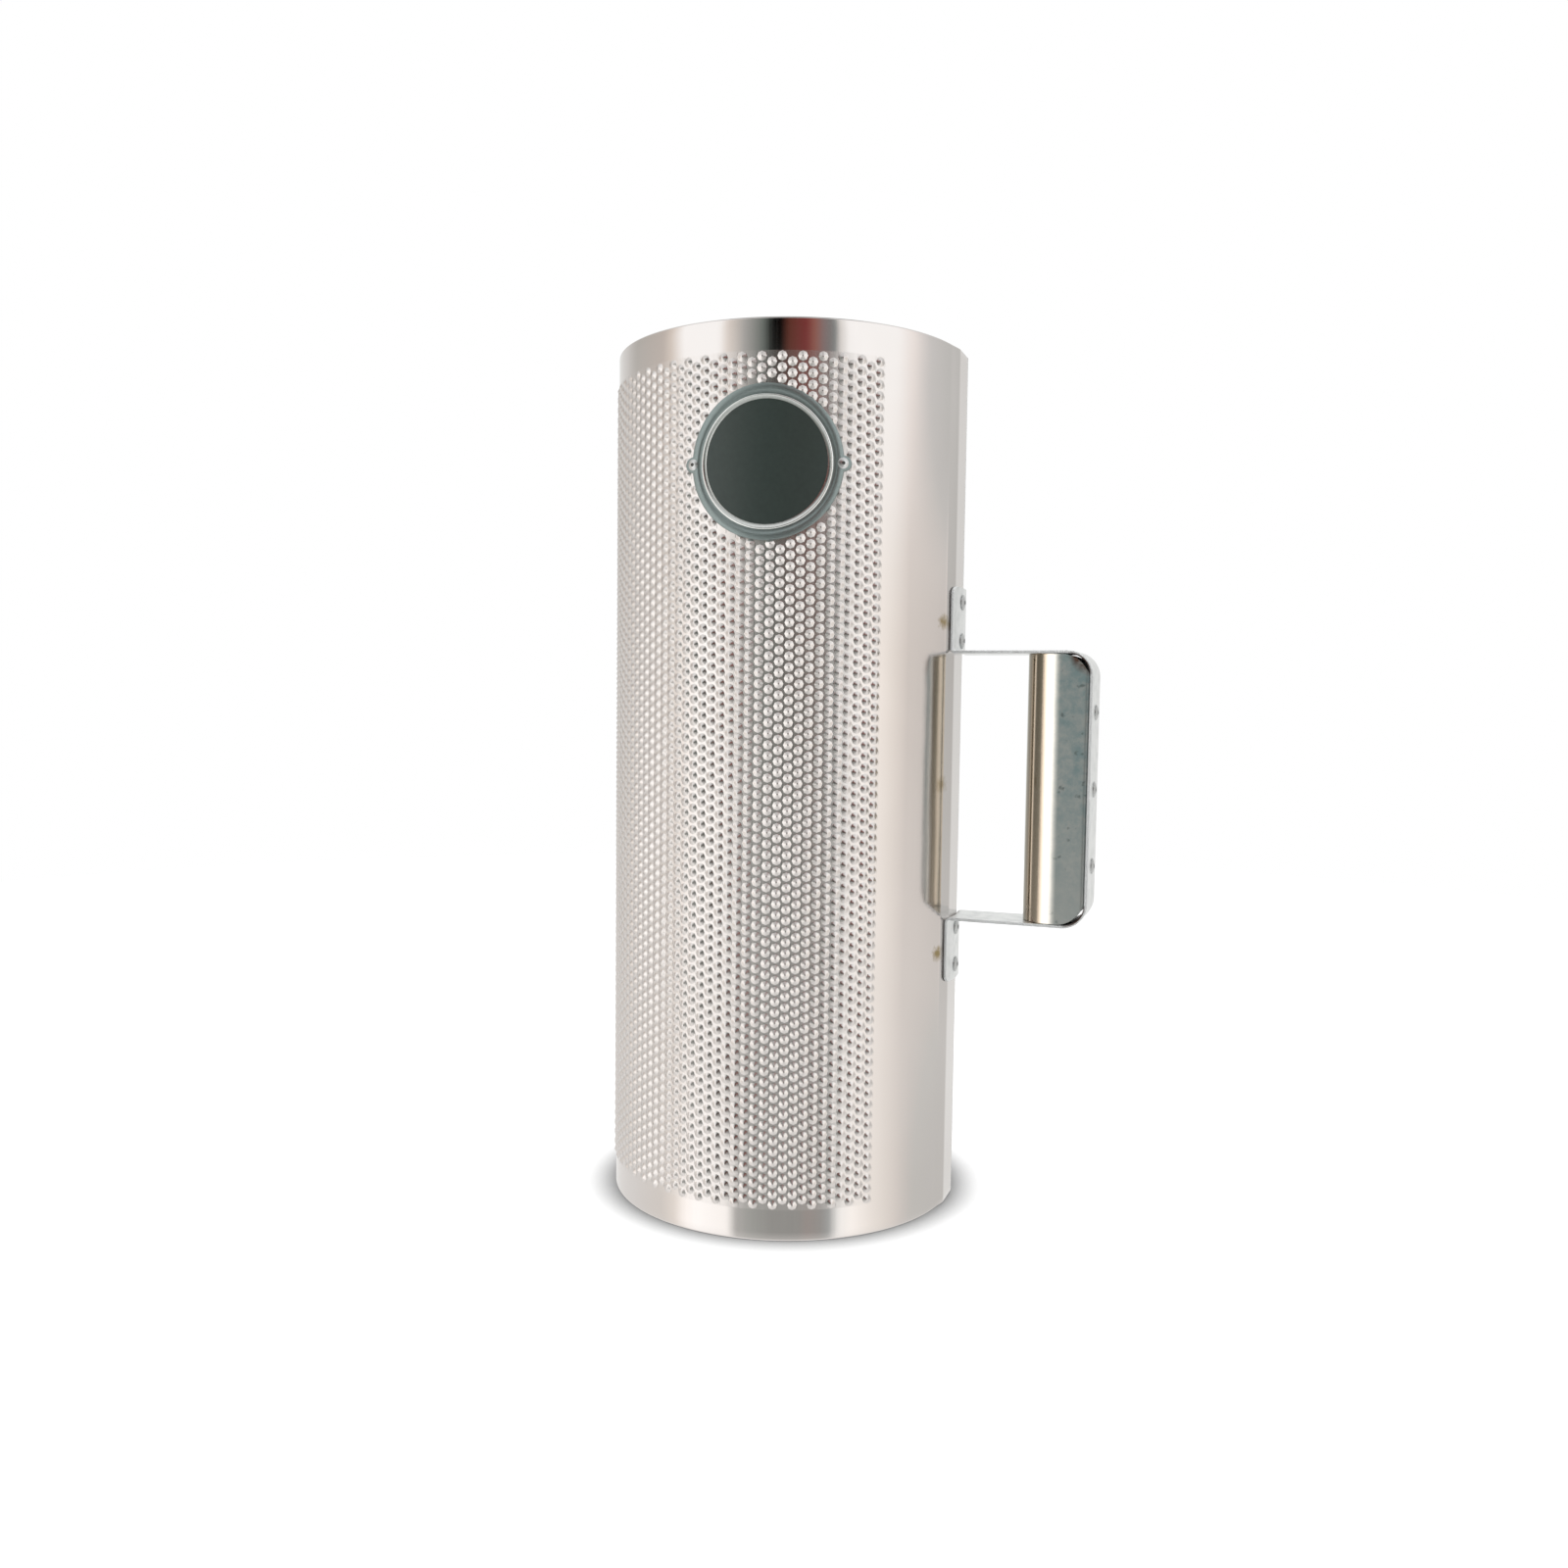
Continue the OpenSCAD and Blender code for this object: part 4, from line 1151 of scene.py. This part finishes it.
# The studio that the metal mirrors, as degrees to the right of the camera and a linear brightness. Two
# softboxes flank a dark doorway with a brown curtain, and grey walls close the room behind the guiro.
GREY_WALL = (0.5, 0.49, 0.48)
PALE_WALL = (0.56, 0.55, 0.54)
BACKDROP = (0.54, 0.54, 0.53)
SOFTBOX = (0.86, 0.86, 0.86)
DOORWAY = (0.0, 0.0, 0.0)
STUDIO_ABOVE = (
    (-180, BACKDROP), (-160, BACKDROP), (-140, GREY_WALL), (-122, (0.39, 0.38, 0.36)),
    (-92, (0.45, 0.41, 0.38)), (-84, (0.6, 0.54, 0.49)), (-74, SOFTBOX), (-48, SOFTBOX),
    (-42, (0.62, 0.57, 0.53)), (-31, (0.34, 0.34, 0.33)), (-19, (0.12, 0.14, 0.13)), (-14.5, DOORWAY),
    (-7.5, DOORWAY), (-3, (0.1, 0.03, 0.02)), (8, (0.16, 0.03, 0.03)), (14, (0.25, 0.1, 0.08)),
    (19, (0.2, 0.15, 0.15)), (26, (0.16, 0.18, 0.18)), (29, (0.6, 0.58, 0.56)), (35, SOFTBOX), (70, SOFTBOX),
    (82, (0.76, 0.72, 0.7)), (92, (0.6, 0.58, 0.57)), (99, (0.51, 0.505, 0.5)), (122, (0.44, 0.44, 0.43)),
    (142, GREY_WALL), (160, BACKDROP), (180, BACKDROP),
)
STUDIO_LEVEL = (
    (-180, BACKDROP), (-160, BACKDROP), (-140, PALE_WALL), (-120, PALE_WALL), (-88, (0.55, 0.52, 0.49)),
    (-77, (0.68, 0.63, 0.58)), (-68, (0.98, 0.94, 0.91)), (-60, (1.03, 1.02, 1.01)),
    (-37, (0.97, 0.95, 0.93)), (-31, (0.3, 0.3, 0.29)), (-20, (0.19, 0.205, 0.19)),
    (-8, (0.14, 0.145, 0.135)), (10, (0.13, 0.135, 0.125)), (16, (0.17, 0.14, 0.125)),
    (24, (0.15, 0.145, 0.135)), (30, (0.19, 0.21, 0.21)), (37, (0.86, 0.86, 0.85)), (46, (0.96, 0.93, 0.9)),
    (60, (0.8, 0.76, 0.72)), (70, (0.7, 0.66, 0.62)), (80, (0.6, 0.56, 0.53)), (88, (0.5, 0.475, 0.455)),
    (97, (0.43, 0.43, 0.415)), (122, (0.4, 0.395, 0.385)), (138, (0.48, 0.475, 0.465)), (150, BACKDROP),
    (180, BACKDROP),
)
# Sines of the height looked at, at which the studio is as it is level and above
LEVEL_AT, ABOVE_AT = 0.04, 0.26
# What covers that studio overhead and underfoot: the sine of the height, a brightness and a share from 0 to 1
PALE_FLOOR = (0.65, 0.64, 0.63)
PALE_CEILING = (0.62, 0.62, 0.62)
DARK_TRUSS = (0.1, 0.1, 0.1)
COVER = (
    (-1.0, PALE_FLOOR, 0.95), (-0.58, PALE_FLOOR, 0.7), (-0.38, PALE_FLOOR, 0.2), (-0.31, PALE_FLOOR, 0.33),
    (-0.25, PALE_FLOOR, 0.32), (-0.12, PALE_FLOOR, 0.15), (0.0, PALE_FLOOR, 0.0), (0.4, PALE_CEILING, 0.0),
    (0.62, PALE_CEILING, 0.7), (0.88, PALE_CEILING, 0.9), (0.94, DARK_TRUSS, 1.0), (1.0, DARK_TRUSS, 1.0),
)
WHITE = (1, 1, 1, 1)
# How far from what stands on it the paper is shaded
SHADOW_REACH = 15 * MM
FLOOR_RADII = np.linspace(0.01, 1.2, 24)
FLOOR_SIDES = 96
FLOOR_Z = -0.1 * MM
# Softboxes that light matt surfaces: degrees to the right of the camera, metres out, metres up and watts
LAMPS = {
    "left_softbox": (-70, 0.9, 1.2, 14.0),
    "right_softbox": (65, 0.9, 1.2, 12.0),
    "top_softbox": (10, 0.2, 1.6, 14.0),
}
LAMP_SIZE = 0.9


def any_ray(tree, *kinds):
    """1 for a ray of any of these kinds, and 0 for every other."""
    rays = add_node(tree, "LightPath").node.outputs
    found = rays[kinds[0]]
    for kind in kinds[1:]:
        found = add_node(tree, "Math", {0: found, 1: rays[kind]}, operation="MAXIMUM")
    return found


def studio_world(stage):
    """White to the camera. Metal mirrors softboxes and the dark room behind the camera, and matt surfaces get
    one even light."""
    world = bpy.data.worlds.new("soft_studio")
    bpy.context.scene.world = world
    world.use_nodes = True
    tree = world.node_tree
    tree.nodes.clear()
    look = add_node(tree, "TexCoord", output="Generated")
    look = add_node(tree, "Mapping", {"Vector": look, "Rotation": (0, 0, -stage.azimuth)})
    parts = add_node(tree, "SeparateXYZ", {0: look}).node.outputs
    towards = add_node(tree, "Math", {0: parts["Y"], 1: -1.0}, operation="MULTIPLY")
    turn = add_node(tree, "Math", {0: parts["X"], 1: towards}, operation="ARCTAN2")
    turn = add_node(tree, "MapRange", {"Value": turn, "From Min": -math.pi, "From Max": math.pi})
    raised = add_node(tree, "MapRange", {"Value": parts["Z"], "From Min": LEVEL_AT, "From Max": ABOVE_AT})
    lift = add_node(tree, "MapRange", {"Value": parts["Z"], "From Min": -1.0, "From Max": 1.0})
    level, above = [add_node(tree, "ValToRGB", {0: turn}) for _ in range(2)]
    for room, stops in ((level, STUDIO_LEVEL), (above, STUDIO_ABOVE)):
        set_stops(room.node, [((degrees + 180) / 360, opaque(shade)) for degrees, shade in stops])
    cover = add_node(tree, "ValToRGB", {0: lift})
    set_stops(cover.node, [((sine + 1) / 2, (*shade, share)) for sine, shade, share in COVER])
    mirrored = layered(tree, level, (raised, above), (cover.node.outputs["Alpha"], cover))

    lights = ((WHITE, stage.ambient), (mirrored, stage.softbox), (WHITE, 1.0))
    even, studio, white = [add_node(tree, "Background", {"Color": shade, "Strength": strength})
                           for shade, strength in lights]
    lit = add_node(tree, "MixShader", {0: any_ray(tree, "Is Glossy Ray"), 1: even, 2: studio})
    seen = any_ray(tree, "Is Camera Ray", "Is Transmission Ray")
    add_node(tree, "OutputWorld", {"Surface": add_node(tree, "MixShader", {0: seen, 1: lit, 2: white})})


def pale_paper(colours):
    """Matt white paper: white where the camera sees it in the open, and darker close to what stands on it.

    The lift to white follows the open share of the sky within a short reach, so the foot of the tube gets a
    narrow, soft shadow, and the paper's own diffuse share adds the lamps' shadows."""
    finish, tree = new_finish("matt_white_paper")
    seen = any_ray(tree, "Is Camera Ray", "Is Glossy Ray", "Is Transmission Ray")
    sky = add_node(tree, "AmbientOcclusion", {"Distance": SHADOW_REACH}, output="AO", samples=16)
    lift = add_node(tree, "MapRange", {"Value": sky, "From Min": 0.5, "To Min": 0.12, "To Max": 0.88})
    lift = add_node(tree, "Math", {0: lift, 1: seen}, operation="MULTIPLY")
    glow = add_node(tree, "Emission", {"Color": WHITE, "Strength": lift})
    paper = add_node(tree, "BsdfDiffuse", {"Color": mottled(tree, colours.floor, seen, 1.0, 0.2)})
    add_node(tree, "OutputMaterial", {"Surface": add_node(tree, "AddShader", {0: glow, 1: paper})})
    return finish


def camera_matrix(stage):
    """Place and turn of the camera: it stands round the tube by the azimuth, looks down by the pitch and
    right by the yaw, and leans by the roll."""
    ahead = Vector((math.sin(stage.yaw) * math.cos(stage.pitch), math.cos(stage.yaw) * math.cos(stage.pitch),
                    -math.sin(stage.pitch)))
    right = Vector((math.cos(stage.yaw), -math.sin(stage.yaw), 0))
    up = right.cross(ahead)
    leant_right = right * math.cos(stage.roll) + up * math.sin(stage.roll)
    leant_up = up * math.cos(stage.roll) - right * math.sin(stage.roll)
    level = Matrix((leant_right, leant_up, -ahead)).transposed().to_4x4()
    level.translation = (0, -stage.distance, stage.height)
    return Matrix.Rotation(stage.azimuth, 4, "Z") @ level


class GUIRO_OT_stage(bpy.types.Operator):
    """Makes the floor, the studio light and the camera"""

    bl_idname = "guiro.stage"
    bl_label = "Stage"

    def execute(self, context):
        scene = context.scene
        stage = scene.guiro_stage
        scene.view_settings.view_transform = "Standard"
        studio_world(stage)

        turn = np.linspace(0, 2 * np.pi, FLOOR_SIDES, endpoint=False)
        points = round_tube(FLOOR_RADII[:, None], turn, FLOOR_Z).reshape(-1, 3)
        faces = [grid_faces(len(FLOOR_RADII), FLOOR_SIDES, close_columns=True)[:, ::-1],
                 np.arange(FLOOR_SIDES)[None, :]]
        floor = add_piece("paper_floor", (points, faces), pale_paper(scene.guiro_colours), [])
        floor.visible_glossy = False

        for name, (degrees, reach, height, watts) in LAMPS.items():
            lamp = bpy.data.lights.new(name, "AREA")
            lamp.energy = watts
            lamp.size = LAMP_SIZE
            hung = bpy.data.objects.new(name, lamp)
            turn_to = stage.azimuth - math.pi / 2 + math.radians(degrees)
            hung.location = (reach * math.cos(turn_to), reach * math.sin(turn_to), height)
            aim = Vector((0, 0, TUBE_H / 3)) - hung.location
            hung.rotation_euler = aim.to_track_quat("-Z", "Y").to_euler()
            hung.visible_glossy = False
            scene.collection.objects.link(hung)

        camera = bpy.data.cameras.new("photo_camera")
        camera.sensor_width = 36
        camera.lens = stage.lens
        camera.clip_start = 0.01
        shot = bpy.data.objects.new("photo_camera", camera)
        shot.matrix_world = camera_matrix(stage)
        scene.collection.objects.link(shot)
        scene.camera = shot
        return {"FINISHED"}


class GUIRO_PT_panel(bpy.types.Panel):
    """Lists the guiro's pieces and sizes in the sidebar"""

    bl_idname = "GUIRO_PT_panel"
    bl_label = "Metal guiro"
    bl_space_type = "VIEW_3D"
    bl_region_type = "UI"
    bl_category = "Guiro"

    def draw(self, context):
        for operator in OPERATORS:
            self.layout.operator(operator.bl_idname)
        for name, group in GROUPS.items():
            box = self.layout.box()
            for key in group.__annotations__:
                box.prop(getattr(context.scene, name), key)


GROUPS = {
    "guiro_body": GuiroBodySizes,
    "guiro_handle": GuiroHandleSizes,
    "guiro_badge": GuiroBadgeSizes,
    "guiro_rivets": GuiroRivetSizes,
    "guiro_colours": GuiroFinishColours,
    "guiro_stage": GuiroStageSettings,
}
OPERATORS = (GUIRO_OT_rims, GUIRO_OT_plain_band, GUIRO_OT_scraping_field, GUIRO_OT_handle_strap,
             GUIRO_OT_grip_sleeve, GUIRO_OT_badge, GUIRO_OT_rivets, GUIRO_OT_stage)


def register():
    for group in GROUPS.values():
        bpy.utils.register_class(group)
    for name, group in GROUPS.items():
        setattr(bpy.types.Scene, name, PointerProperty(type=group))
    for made in (*OPERATORS, GUIRO_PT_panel):
        bpy.utils.register_class(made)


def unregister():
    for made in (GUIRO_PT_panel, *reversed(OPERATORS)):
        bpy.utils.unregister_class(made)
    for name, group in GROUPS.items():
        delattr(bpy.types.Scene, name)
        bpy.utils.unregister_class(group)


def main():
    """Registers the add-on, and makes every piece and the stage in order."""
    register()
    for operator in OPERATORS:
        getattr(bpy.ops.guiro, operator.bl_idname.split(".")[1])()
    bpy.context.view_layer.update()


if __name__ == "__main__":
    main()
